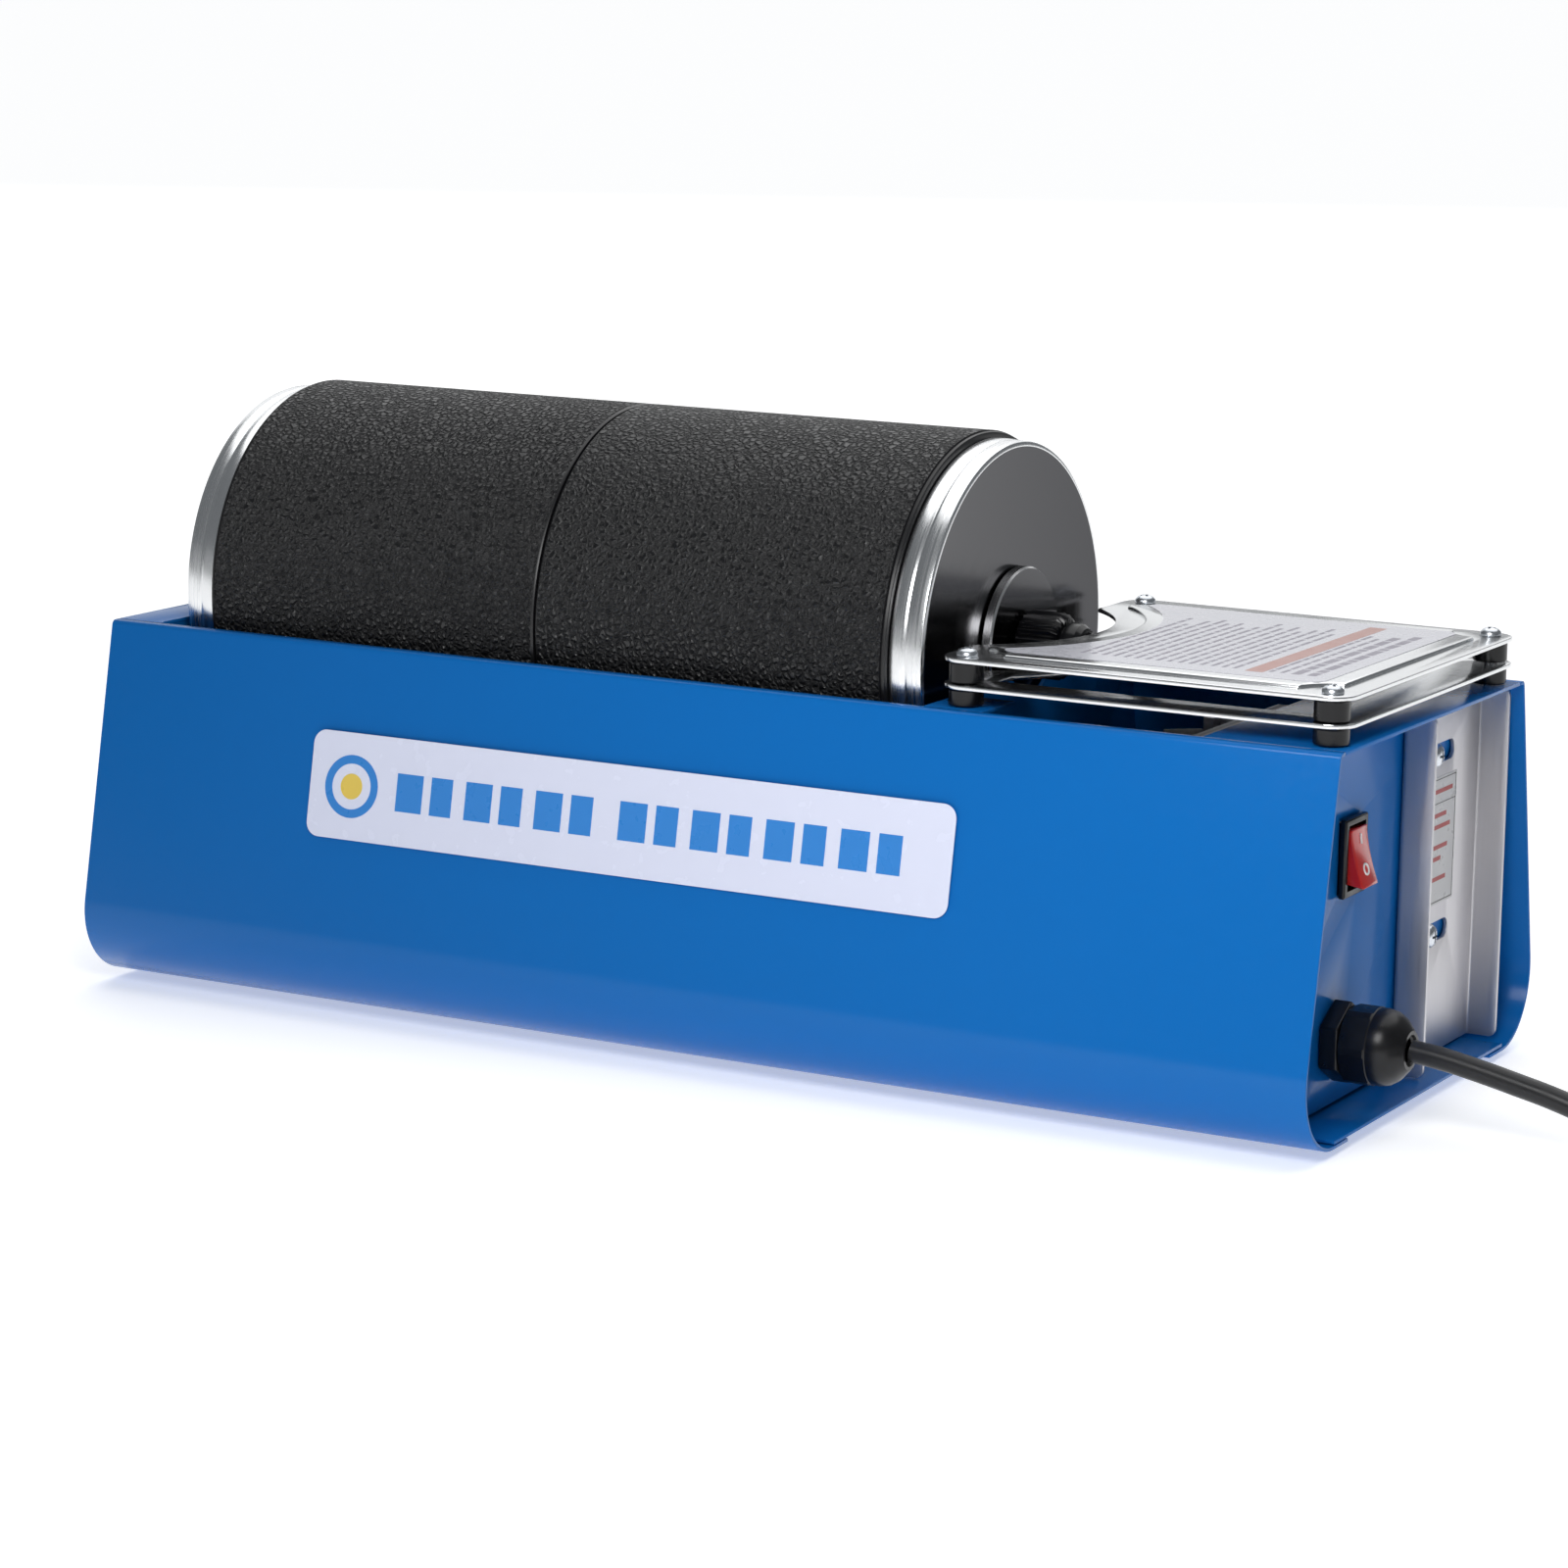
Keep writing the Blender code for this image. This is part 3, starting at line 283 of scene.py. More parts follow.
@once
def drawn_metal(name, colour, smooth_end, rough_end, stretch, depth=0.004 * MM):
    """Rolled or brushed metal with fine marks along one direction."""
    mat = plain(name, colour, smooth_end, metallic=1.0)
    marks = noise(mat, object_vector(mat, stretch), 1.0, 3.0)
    roughened(mat, ranged(mat, marks, 0.3, 0.7, smooth_end, rough_end))
    return bumped(mat, marks, depth, 0.5)


def rim_aluminium():
    return spun_metal("rim_aluminium", (0.86, 0.87, 0.88), 0.16, 0.30)


# Near-black metal on the flat outer faces of the lids and clamping discs: painted dark reflection,
# those faces being the same bright metal as their rims and edges.
def dark_reflection_steel():
    return spun_metal("dark_reflection_steel", (0.055, 0.055, 0.06), 0.12, 0.22, 0.003 * MM)


def bright_steel():
    return spun_metal("bright_steel_turned", (0.70, 0.70, 0.71), 0.18, 0.30)


def deck_steel():
    return drawn_metal("deck_steel", (0.78, 0.79, 0.80), 0.16, 0.26, (90, 2600, 2600))


def channel_aluminium():
    mat = drawn_metal("channel_aluminium", (0.60, 0.59, 0.61), 0.34, 0.46, (1500, 1500, 40))
    shader_of(mat).inputs["Metallic"].default_value = 0.85
    return mat


def zinc():
    return drawn_metal("zinc_plate", (0.66, 0.69, 0.73), 0.22, 0.36, (900, 900, 900), 0.01 * MM)


@once
def moulded(name, colour, roughness, coat=0.0):
    """Moulded plastic with a fine spark-eroded texture."""
    mat = plain(name, colour, roughness, coat=coat, specular=0.4)
    mottle = noise(mat, object_vector(mat), 240, 3.0)
    roughened(mat, ranged(mat, mottle, 0.3, 0.7, roughness * 0.85, roughness * 1.15))
    return bumped(mat, noise(mat, object_vector(mat), 1800, 2.0), 0.015 * MM, 0.3)


def black_nylon():
    return moulded("black_nylon", (0.005, 0.005, 0.006), 0.32)


def black_gloss():
    return moulded("black_gloss", (0.004, 0.004, 0.005), 0.24)


def white_nylon():
    return moulded("white_nylon", (0.72, 0.70, 0.64), 0.45)


@once
def sintered_bronze(name):
    mat = plain(name, (0.50, 0.30, 0.13), 0.4, metallic=1.0)
    grit = noise(mat, object_vector(mat), 2200, 3.0)
    tinted(mat, grit, (0.32, 0.19, 0.09), (0.62, 0.40, 0.20))
    return bumped(mat, grit, 0.04 * MM, 0.6)


@once
def laminations(name):
    """Stacked iron stampings, seen as fine lines across the stack."""
    mat = plain(name, (0.25, 0.25, 0.27), 0.48, metallic=0.9)
    lines = mat.node_tree.nodes.new("ShaderNodeTexWave")
    lines.bands_direction = "X"
    lines.inputs["Scale"].default_value = 1 / (20 * 0.5 * MM)
    mat.node_tree.links.new(object_vector(mat), lines.inputs["Vector"])
    tinted(mat, lines.outputs["Fac"], (0.10, 0.10, 0.11), (0.34, 0.34, 0.36))
    return bumped(mat, lines.outputs["Fac"], 0.1 * MM, 0.6)


@once
def copper_wire(name):
    """Lacquered winding, each turn a ridge; painted shade darkens the grooves between turns."""
    mat = plain(name, (0.42, 0.15, 0.05), 0.28, metallic=0.55, coat=0.5)
    turns = mat.node_tree.nodes.new("ShaderNodeTexWave")
    turns.bands_direction = "Z"
    turns.inputs["Scale"].default_value = 1 / (20 * 0.45 * MM)
    turns.inputs["Distortion"].default_value = 0.6
    mat.node_tree.links.new(object_vector(mat), turns.inputs["Vector"])
    # Dark where the wave dips between turns: painted shade in the grooves.
    tinted(mat, turns.outputs["Fac"], (0.16, 0.05, 0.02), (0.55, 0.22, 0.08))
    return bumped(mat, turns.outputs["Fac"], 0.15 * MM, 0.8)


# ------------------------------------------------------------------ modelling by hand

AXIS_Z = middle("right_lid_disc").z
ROLLER_Z = middle("drive_shaft").z
MOTOR = middle("motor_rotor")
SEAM_X = (low("right_rubber_barrel").x + high("left_rubber_barrel").x) / 2
BARREL_CENTRE = Vector((SEAM_X, 0, AXIS_Z))
LEFT_END = low("front_side_sheet").x
RIGHT_END = high("front_side_sheet").x
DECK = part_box("top_plate")
NOTCH = Vector((43 * MM, 0, 0))
FIELD_RISE = 1.0 * MM

# Section of the base, in millimetres above its feet
FOOT = 2.0
WALL_TOP = 103.1
WALL_TOP_Y = 65.8
WALL_RUN, WALL_RISE = 14.2, 79.6
LEAN = math.atan2(WALL_RUN, WALL_RISE)
FOLD_HALF = 61.7


def clear_selection():
    """Back in object mode with nothing selected."""
    if bpy.context.object and bpy.context.object.mode == "EDIT":
        bpy.ops.object.mode_set(mode="OBJECT")
    bpy.ops.object.select_all(action="DESELECT")


def fresh(name):
    """Name the object a primitive has just made and put its place in its mesh."""
    piece = bpy.context.object
    piece.name = piece.data.name = name
    bpy.ops.object.transform_apply(location=True, rotation=True, scale=True)
    return piece


def block(name, corner_a, corner_b):
    clear_selection()
    a, b = Vector(corner_a), Vector(corner_b)
    bpy.ops.mesh.primitive_cube_add(size=1, location=(a + b) / 2, scale=b - a)
    return fresh(name)


def bar(name, start, end, radius, sides=32):
    clear_selection()
    a, b = Vector(start), Vector(end)
    turn = (b - a).to_track_quat("Z", "Y").to_euler()
    bpy.ops.mesh.primitive_cylinder_add(vertices=sides, radius=radius, depth=(b - a).length,
                                        location=(a + b) / 2, rotation=turn)
    return fresh(name)


def chain(name, points):
    """A chain of edges through the points, left in edit mode with all of it selected."""
    clear_selection()
    bpy.ops.mesh.primitive_plane_add(size=MM)
    piece = fresh(name)
    bpy.ops.object.mode_set(mode="EDIT")
    bpy.ops.mesh.select_mode(type="VERT")
    bpy.ops.mesh.select_all(action="SELECT")
    bpy.ops.mesh.merge(type="CENTER")
    bpy.ops.transform.translate(value=points[0])
    for a, b in zip(points, points[1:]):
        step = Vector(b) - Vector(a)
        bpy.ops.mesh.extrude_vertices_move(TRANSFORM_OT_translate={"value": step})
    bpy.ops.mesh.select_all(action="SELECT")
    return piece


def pick(piece, kind, wanted):
    """Into edit mode with only the wanted vertices or edges selected."""
    clear_selection()
    bpy.context.view_layer.objects.active = piece
    bpy.ops.object.mode_set(mode="EDIT")
    bpy.ops.mesh.select_mode(type=kind)
    bpy.ops.mesh.select_all(action="DESELECT")
    mesh = bmesh.from_edit_mesh(piece.data)
    for part in {"VERT": mesh.verts, "EDGE": mesh.edges}[kind]:
        part.select = wanted(part)
    mesh.select_flush_mode()
    bmesh.update_edit_mesh(piece.data)


def closed_shell():
    """Weld what is selected, point it outwards and leave edit mode."""
    bpy.ops.mesh.select_all(action="SELECT")
    bpy.ops.mesh.remove_doubles(threshold=0.002 * MM)
    bpy.ops.mesh.normals_make_consistent(inside=False)
    bpy.ops.object.mode_set(mode="OBJECT")


def spun(name, outline, centre, axis=X, steps=96):
    """Spin an outline of (distance along the axis, radius) pairs, in millimetres."""
    side = Z if abs(axis.dot(Z)) < 0.5 else X
    points = [Vector(centre) + axis * a * MM + side * r * MM for a, r in outline]
    piece = chain(name, points)
    bpy.ops.mesh.spin(steps=steps, angle=2 * math.pi, center=centre, axis=axis)
    closed_shell()
    return piece


def slab(name, outline, thickness):
    """Fill a closed outline and pull it out along a vector."""
    piece = chain(name, outline)
    bpy.ops.mesh.edge_face_add()
    bpy.ops.mesh.extrude_region_move(TRANSFORM_OT_translate={"value": thickness})
    closed_shell()
    return piece


def swept(name, outline, length):
    """Pull an open outline along a vector into a sheet without thickness."""
    piece = chain(name, outline)
    bpy.ops.mesh.extrude_region_move(TRANSFORM_OT_translate={"value": length})
    closed_shell()
    return piece


def apply_modifier(piece, kind, **settings):
    clear_selection()
    bpy.context.view_layer.objects.active = piece
    modifier = piece.modifiers.new(kind.lower(), kind)
    for key, value in settings.items():
        setattr(modifier, key, value)
    bpy.ops.object.modifier_apply(modifier=modifier.name)
    return piece


def thicken(piece, thickness, inward):
    """Give a sheet its thickness on the side that inward points to."""
    wall = max(piece.data.polygons, key=lambda face: face.area)
    side = 1 if wall.normal.dot(inward) > 0 else -1
    return apply_modifier(piece, "SOLIDIFY", thickness=thickness, offset=side,
                          use_even_offset=True)


def soften(piece, width, segments=3, angle=32):
    """Round every edge sharper than an angle."""
    return apply_modifier(piece, "BEVEL", width=width * MM, segments=segments,
                          limit_method="ANGLE", angle_limit=math.radians(angle),
                          use_clamp_overlap=True, miter_outer="MITER_ARC")


def carve(piece, *tools, operation="DIFFERENCE"):
    """Cut the tools out of the piece, or weld them to it, and throw them away."""
    for tool in tools:
        apply_modifier(piece, "BOOLEAN", object=tool, operation=operation, solver="EXACT")
        bpy.data.objects.remove(tool)
    return piece


def weld(piece, *others):
    return carve(piece, *others, operation="UNION")


def gather(name, pieces):
    """Join loose pieces into one object."""
    clear_selection()
    for piece in pieces:
        piece.select_set(True)
    bpy.context.view_layer.objects.active = pieces[0]
    bpy.ops.object.join()
    pieces[0].name = pieces[0].data.name = name
    return pieces[0]


def copied(piece, name, matrix):
    """A copy with its own mesh, its place in its mesh."""
    twin = piece.copy()
    twin.data = piece.data.copy()
    twin.name = twin.data.name = name
    bpy.context.scene.collection.objects.link(twin)
    twin.data.transform(matrix)
    if matrix.determinant() < 0:
        twin.data.flip_normals()
    return twin


def facing_left():
    """Turns the right barrel's pieces round to the left barrel."""
    return Matrix.Translation((2 * SEAM_X, 0, 0)) @ Matrix.Rotation(math.pi, 4, "Z")


def finish_piece(piece, material, body, *nodes, slot=None, smooth=35):
    """Give a piece its finish, its body and the frame nodes it stands for."""
    clear_selection()
    piece.select_set(True)
    bpy.context.view_layer.objects.active = piece
    if smooth:
        bpy.ops.object.shade_smooth_by_angle(angle=math.radians(smooth))
    if not piece.data.materials:
        piece.data.materials.append(material)
    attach(piece, body)
    if nodes:
        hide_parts(*nodes)
    return piece


def refinish(node, material):
    """A frame node whose shape is right gets a better finish."""
    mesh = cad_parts[node].data
    mesh.materials.clear()
    mesh.materials.append(material)


def arc_points(centre, radius, start, end, steps, plane="YZ"):
    """Points along an arc in a plane through centre, angles in degrees."""
    points = []
    for i in range(steps + 1):
        a = math.radians(start + (end - start) * i / steps)
        u, v = radius * math.cos(a), radius * math.sin(a)
        offset = {"YZ": (0, u, v), "XY": (u, v, 0), "XZ": (u, 0, v)}[plane]
        points.append(Vector(centre) + Vector(offset))
    return points


# ------------------------------------------------------------------ stage

class TUMBLER_OT_stage(bpy.types.Operator):
    """Floor, camera and studio lights"""
    bl_idname = "tumbler.stage"
    bl_label = "Stage"

    def execute(self, context):
        self.floor()
        self.camera(context)
        self.lights(context)
        return {"FINISHED"}

    def floor(self):
        clear_selection()
        bpy.ops.mesh.primitive_plane_add(size=60)
        floor = fresh("floor")
        paper = plain("pale_floor", (0.9, 0.9, 0.9), 0.8, specular=0.1)
        shader_of(paper).inputs["Emission Color"].default_value = (1, 1, 1, 1)
        shader_of(paper).inputs["Emission Strength"].default_value = 0.44
        floor.data.materials.append(paper)

    def camera(self, context):
        bpy.ops.object.camera_add(location=(0.6198, -1.1258, 0.3152))
        camera = context.object
        turn, tip, roll = (math.radians(a) for a in (29.01, 10.95, 0.833))
        ahead = Vector((-math.sin(turn) * math.cos(tip), math.cos(turn) * math.cos(tip),
                        -math.sin(tip)))
        right = Vector((math.cos(turn), math.sin(turn), 0))
        up = right.cross(ahead)
        side = right * math.cos(roll) + up * math.sin(roll)
        top = up * math.cos(roll) - right * math.sin(roll)
        rotation = Matrix((side, top, -ahead)).transposed()
        camera.matrix_world = Matrix.Translation(camera.location) @ rotation.to_4x4()
        camera.data.lens = 106.64
        camera.data.sensor_width = 36
        camera.data.clip_end = 100
        context.scene.camera = camera

    def lights(self, context):
        scene = context.scene
        scene.view_settings.view_transform = "Standard"
        world = bpy.data.worlds.new("studio")
        scene.world = world
        world.use_nodes = True
        background = world.node_tree.nodes["Background"]
        background.inputs["Color"].default_value = (0.9, 0.95, 1, 1)
        background.inputs["Strength"].default_value = 0.16
        bpy.ops.object.light_add(type="SUN", location=(0, 0, 2), rotation=(-0.35, -0.1, 0))
        overhead = context.object
        overhead.name = "overhead"
        overhead.data.energy = 1.55
        overhead.data.angle = math.radians(72)
        self.softbox("near_front", (0.24, -0.46, 0.36), (0.17, -0.07, 0.06), (0.24, 0.2), 1.5)
        self.softbox("left_card", (-1.2, -2.1, 0.36), (0, 0, 0.1), (2.2, 0.6), 0.6)
        self.softbox("back_card", (-1.4, 2.6, 1.4), (0, 0, 0.1), (4.0, 2.2), 22)

    def softbox(self, name, place, target, size, power):
        bpy.ops.object.light_add(type="AREA", location=place)
        lamp = bpy.context.object
        lamp.name = name
        lamp.data.shape = "RECTANGLE"
        lamp.data.size, lamp.data.size_y = size
        lamp.data.energy = power
        aim = Vector(target) - Vector(place)
        lamp.rotation_euler = aim.to_track_quat("-Z", "Y").to_euler()


# ------------------------------------------------------------------ mains cord

def cord_route():
    """The cord's own line: out of the gland, down to the table, six turns, out to the plug."""
    free = [(198.9, -31.3, 22.9), (206.0, -31.3, 22.1), (216.0, -31.4, 20.4),
            (227.0, -31.7, 18.2), (239.0, -32.2, 15.6), (250.0, -32.8, 12.4),
            (261.0, -33.3, 8.8), (271.0, -33.7, 5.4), (280.5, -34.0, 3.4),
            (291.0, -34.0, 3.08)]
    centre = Vector((303, -73, 0))
    turns = []
    lower, upper = 3.08, 8.96
    for layer, radii in ((lower, (38.95, 32.95, 26.95)), (upper, (26.95, 32.95, 38.95))):
        for number, radius in enumerate(radii):
            following = radii[number + 1] if number < 2 else radius
            for step in range(20):
                part = step / 20
                ease = min(1, max(0, (part - 0.8) / 0.2))
                r = radius + (following - radius) * ease * ease * (3 - 2 * ease)
                z = layer
                if layer == lower and number == 2:
                    z += (upper - lower) * ease * ease * (3 - 2 * ease)
                a = math.pi / 2 - 2 * math.pi * part
                turns.append(centre + Vector((r * math.cos(a), r * math.sin(a), z)))
    last = [(303.0, -34.05, 8.96), (311.0, -34.0, 8.9), (319.0, -34.0, 8.6), (327.0, -34.0, 8.5)]
    return [Vector(p) * MM for p in free] + [p * MM for p in turns] + [Vector(p) * MM for p in last]


class TUMBLER_OT_cord(bpy.types.Operator):
    """Mains cord with its strain relief, coil and plug"""
    bl_idname = "tumbler.cord"
    bl_label = "Mains cord"

    def execute(self, context):
        vinyl = moulded("vinyl_sheath", (0.012, 0.012, 0.013), 0.36)
        route = cord_route()
        curve = bpy.data.curves.new("mains_cord", "CURVE")
        curve.dimensions = "3D"
        curve.bevel_depth = sizes().cord_diameter / 2
        curve.bevel_resolution = 6
        curve.resolution_u = 6
        curve.use_fill_caps = True
        spline = curve.splines.new("BEZIER")
        spline.bezier_points.add(len(route) - 1)
        for point, place in zip(spline.bezier_points, route):
            point.co = place
            point.handle_left_type = point.handle_right_type = "AUTO"
        cord = bpy.data.objects.new("mains_cord", curve)
        context.scene.collection.objects.link(cord)
        cord.data.materials.append(vinyl)
        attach(cord, "base")
        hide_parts("power_cord", "cord_coil")
        plug = self.plug(vinyl)
        return {"FINISHED"}

    def plug(self, vinyl):
        a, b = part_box("mains_plug")
        y, z = (a.y + b.y) / 2, (a.z + b.z) / 2
        body = block("plug_body", (0.338, a.y, a.z), (0.368, b.y, b.z))
        soften(body, 3.2, 5)
        boot = spun("plug_boot", [(0, 0), (0, 3.5), (1, 3.7), (14, 4.15), (14, 0)],
                    (a.x, y, z), steps=32)
        weld(body, boot)
        finish_piece(body, vinyl, "base", "mains_plug", slot="pvc_cord")
        blades = []
        for side in (-1, 1):
            blade = block(f"blade_{side}", (0.366, y + side * 6.35 * MM - 0.75 * MM, z - 3.2 * MM),
                          (b.x, y + side * 6.35 * MM + 0.75 * MM, z + 3.2 * MM))
            blades.append(soften(blade, 0.3, 2))
        finish_piece(gather("plug_blades", blades), bright_steel(), "base", slot="bright_steel")
        return body


# ------------------------------------------------------------------ sheet-metal base

def side_outline(inset, x, top_flange=True):
    """Section of the front side sheet at x, from its top flange to its lip."""
    knee_radius = 23.5 / (1 + math.sin(LEAN))
    knee = Vector((x, -(80.0 - knee_radius * math.cos(LEAN)) * MM, (knee_radius + FOOT) * MM))
    fold = sizes().fold_radius
    top = (WALL_TOP + FOOT) * MM
    corner = Vector((x, -WALL_TOP_Y * MM, top))
    inside = fold * math.tan((math.pi / 2 + LEAN) / 2)
    centre = Vector((x, corner.y + inside, top - fold))
    points = []
    if top_flange:
        points.append(Vector((x, -62.0 * MM, top)))
        points += arc_points(centre, fold, 90, 180 - math.degrees(LEAN), 8)
    points += arc_points(knee, (knee_radius - inset) * MM, 180 - math.degrees(LEAN), 270, 28)
    points.append(Vector((x, -50.7 * MM, FOOT * MM + inset * MM)))
    return points


class TUMBLER_OT_side_sheets(bpy.types.Operator):
    """Front and rear side sheets, folded from one blank each"""
    bl_idname = "tumbler.side_sheets"
    bl_label = "Side sheets"

    def execute(self, context):
        sheet = swept("front_sheet", side_outline(0, LEFT_END), (RIGHT_END - LEFT_END, 0, 0))
        thicken(sheet, 1.0 * MM, Y)
        soften(sheet, 0.22, 2, 60)
        rear = copied(sheet, "rear_sheet", Matrix.Scale(-1, 4, Y))
        enamelled(sheet, "front_side_sheet")
        enamelled(rear, "rear_side_sheet")
        return {"FINISHED"}


def panel_edge(x, bottom, top):
    """Outline of an upright panel between the side sheets."""
    section = [p for p in side_outline(1.3, x, top_flange=False) if p.z > bottom]
    slope = WALL_RUN / WALL_RISE
    front = Vector((x, section[0].y + (top - section[0].z) * slope, top))
    half = [front] + section[:-1]
    return half + [Vector((x, -p.y, p.z)) for p in reversed(half)]


def panel_plate(node, x):
    top = high(node).z - 0.7 * MM
    return slab(node + "_plate", panel_edge(x, low(node).z, top), (1.0 * MM, 0, 0))


def enamelled(piece, node):
    finish_piece(piece, blue_enamel_coat(), "base", node, slot="blue_enamel")


class TUMBLER_OT_end_panels(bpy.types.Operator):
    """End panels, the partition between barrels and motor, and the floor plate"""
    bl_idname = "tumbler.end_panels"
    bl_label = "Panels"

    def execute(self, context):
        self.left()
        self.right()
        self.partition()
        floor = block("base_floor", *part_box("floor_plate"))
        soften(floor, 0.2, 2)
        enamelled(floor, "floor_plate")
        return {"FINISHED"}

    def fold(self, node, y_range):
        """Top fold of a panel, from one y to another in millimetres."""
        a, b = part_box(node)
        start, end = y_range
        return block("fold", (a.x, start * MM, b.z - 1.0 * MM), (b.x, end * MM, b.z))

    def bush_holes(self, x):
        return [bar("hole", (x - 5 * MM, y, ROLLER_Z), (x + 6 * MM, y, ROLLER_Z), 5.6 * MM)
                for y in (middle("drive_shaft").y, middle("idler_shaft").y)]

    def notch(self, x):
        return bar("notch", (x - 25 * MM, 0, AXIS_Z), (x + 5 * MM, 0, AXIS_Z), 14 * MM, 64)

    def left(self):
        x = high("left_end_panel").x
        panel = panel_plate("left_end_panel", x - 1.0 * MM)
        carve(panel, *self.bush_holes(x))
        weld(panel, self.fold("left_end_panel", (-FOLD_HALF, FOLD_HALF)))
        carve(panel, self.notch(x))
        soften(panel, 0.25, 2, 60)
        enamelled(panel, "left_end_panel")

    def right(self):
        x = high("switch_body").x - 3.3 * MM
        panel = panel_plate("right_end_panel", x)
        switch, gland = middle("rocker"), middle("gland_nut")
        carve(panel,
              block("hole", (x - 5 * MM, switch.y - 6.8 * MM, switch.z - 9.8 * MM),
                    (x + 5 * MM, switch.y + 6.8 * MM, switch.z + 9.8 * MM)),
              bar("hole", (x - 5 * MM, gland.y, gland.z), (x + 5 * MM, gland.y, gland.z), 8.2 * MM))
        weld(panel, self.fold("right_end_panel", (-FOLD_HALF, FOLD_HALF)))
        soften(panel, 0.3, 2, 60)
        enamelled(panel, "right_end_panel")

    def partition(self):
        x = low("partition_panel").x
        panel = panel_plate("partition_panel", x)
        carve(panel, *self.bush_holes(x))
        for y_range in ((-FOLD_HALF, -42), (42, FOLD_HALF)):
            weld(panel, self.fold("partition_panel", y_range))
        carve(panel, self.notch(x))
        soften(panel, 0.25, 2, 60)
        enamelled(panel, "partition_panel")


class TUMBLER_OT_feet(bpy.types.Operator):
    """Four rubber feet under the floor plate"""
    bl_idname = "tumbler.feet"
    bl_label = "Feet"

    def execute(self, context):
        for number in range(1, 5):
            node = f"rubber_foot_{number}"
            place = middle(node)
            place.z = low(node).z
            outline = [(0, 0), (0, 5.9), (0.5, 6.6), (2.0, 7.0), (3.0, 6.0), (3.0, 0)]
            foot = spun(f"foot_{number}", outline, place, axis=Z, steps=40)
            finish_piece(foot, smooth_rubber(), "base", node, slot="black_rubber")
        return {"FINISHED"}


# ------------------------------------------------------------------ barrels

def shade_by_place(piece, materials, chooser):
    """Give each face one of several finishes, chosen by where it lies."""
    for material in materials:
        piece.data.materials.append(material)
    for face in piece.data.polygons:
        face.material_index = chooser(face.center, face.normal)


class TUMBLER_OT_barrels(bpy.types.Operator):
    """Grained rubber barrels, back to back"""
    bl_idname = "tumbler.barrels"
    bl_label = "Rubber barrels"

    def execute(self, context):
        outline = [(0.2, 0), (0.2, 55.9), (0.4, 56.7), (1.0, 57.1), (107.6, 57.1), (107.8, 56.6),
                   (108.05, 56.6), (108.2, 56.8), (108.8, 56.6), (109.0, 56.0), (109.0, 53.2),
                   (117.4, 53.2), (117.4, 50.2), (9.8, 50.2), (7.6, 49.0), (6.6, 46.6), (6.6, 0)]
        cup = spun("right_cup", outline, BARREL_CENTRE, steps=144)
        grain_end = BARREL_CENTRE.x + 107.7 * MM

        def outside(centre, normal):
            radius = math.hypot(centre.y, centre.z - AXIS_Z)
            return 0 if radius > 56.9 * MM and centre.x < grain_end else 1

        shade_by_place(cup, (grained_rubber(), smooth_rubber("lip_rubber", 0.34)), outside)
        left = copied(cup, "left_cup", facing_left())
        for piece, side in ((cup, "right"), (left, "left")):
            finish_piece(piece, None, f"{side}_barrel", f"{side}_rubber_barrel",
                         slot="black_rubber")
        return {"FINISHED"}


class TUMBLER_OT_lids(bpy.types.Operator):
    """Outer lids with their stepped rims, inner lids, clamping discs and studs"""
    bl_idname = "tumbler.lids"
    bl_label = "Lids"

    def execute(self, context):
        start = BARREL_CENTRE
        outer = [(118.9, 4.4), (118.9, 52.6), (119.0, 53.4), (118.95, 54.1), (118.6, 54.6),
                 (118.0, 54.8), (114.9, 54.95), (114.4, 54.85), (114.1, 54.7), (113.8, 54.7),
                 (113.5, 54.9), (113.0, 55.05), (109.8, 55.1), (109.4, 54.9), (109.3, 54.1),
                 (114.0, 53.9), (117.4, 52.9), (117.9, 51.0), (117.9, 4.4), (118.9, 4.4)]
        lid = spun("right_lid", outer, start, steps=144)
        face_x = start.x + 118.4 * MM

        def face_side(centre, normal):
            radius = math.hypot(centre.y, centre.z - AXIS_Z)
            return 1 if centre.x > face_x and radius < 53 * MM else 0

        # The lid's outer face gets the near-black metal as a painted dark reflection; the stepped
        # rim keeps the bright aluminium.
        shade_by_place(lid, (rim_aluminium(), dark_reflection_steel()), face_side)
        inner = spun("right_inner_cap",
                     [(114.2, 4.4), (114.2, 48.6), (113.6, 49.6), (105.0, 49.6), (105.0, 48.5),
                      (113.0, 48.5), (113.0, 4.4), (114.2, 4.4)], start)
        disc = spun("right_disc",
                    [(119.3, 4.4), (119.3, 20.6), (119.6, 20.9), (121.8, 20.9), (122.3, 20.4),
                     (122.3, 4.4), (119.3, 4.4)], start)
        # The disc's outward face, picked by its normal, gets the near-black metal as a painted dark
        # reflection; edge and back stay bright steel.
        shade_by_place(disc, (bright_steel(), dark_reflection_steel()),
                       lambda centre, normal: 1 if normal.x > 0.9 else 0)
        stud = spun("right_stud", self.threaded(), start, steps=32)
        pieces = {"outer_lid": (lid, None, "spun_aluminium"),
                  "inner_lid": (inner, bright_steel(), "bright_steel"),
                  "lid_disc": (disc, None, "bright_steel"),
                  "lid_stud": (stud, bright_steel(), "bright_steel")}
        for node, (piece, material, slot) in pieces.items():
            left = copied(piece, piece.name.replace("right", "left"), facing_left())
            finish_piece(piece, material, "right_barrel", f"right_{node}", slot=slot)
            finish_piece(left, material, "left_barrel", f"left_{node}", slot=slot)
        return {"FINISHED"}

    def threaded(self):
        """Stud outline with a thread cut as fine rings."""
        outline = [(107.0, 0), (107.0, 7.4), (107.6, 8.0), (112.1, 8.0), (112.7, 7.4), (112.7, 4.0)]
        along = 114.0
        while along < 142.0:
            outline += [(along, 4.0), (along + 0.6, 3.45)]
            along += 1.2
        return outline + [(142.6, 3.9), (143.3, 3.2), (143.3, 0)]


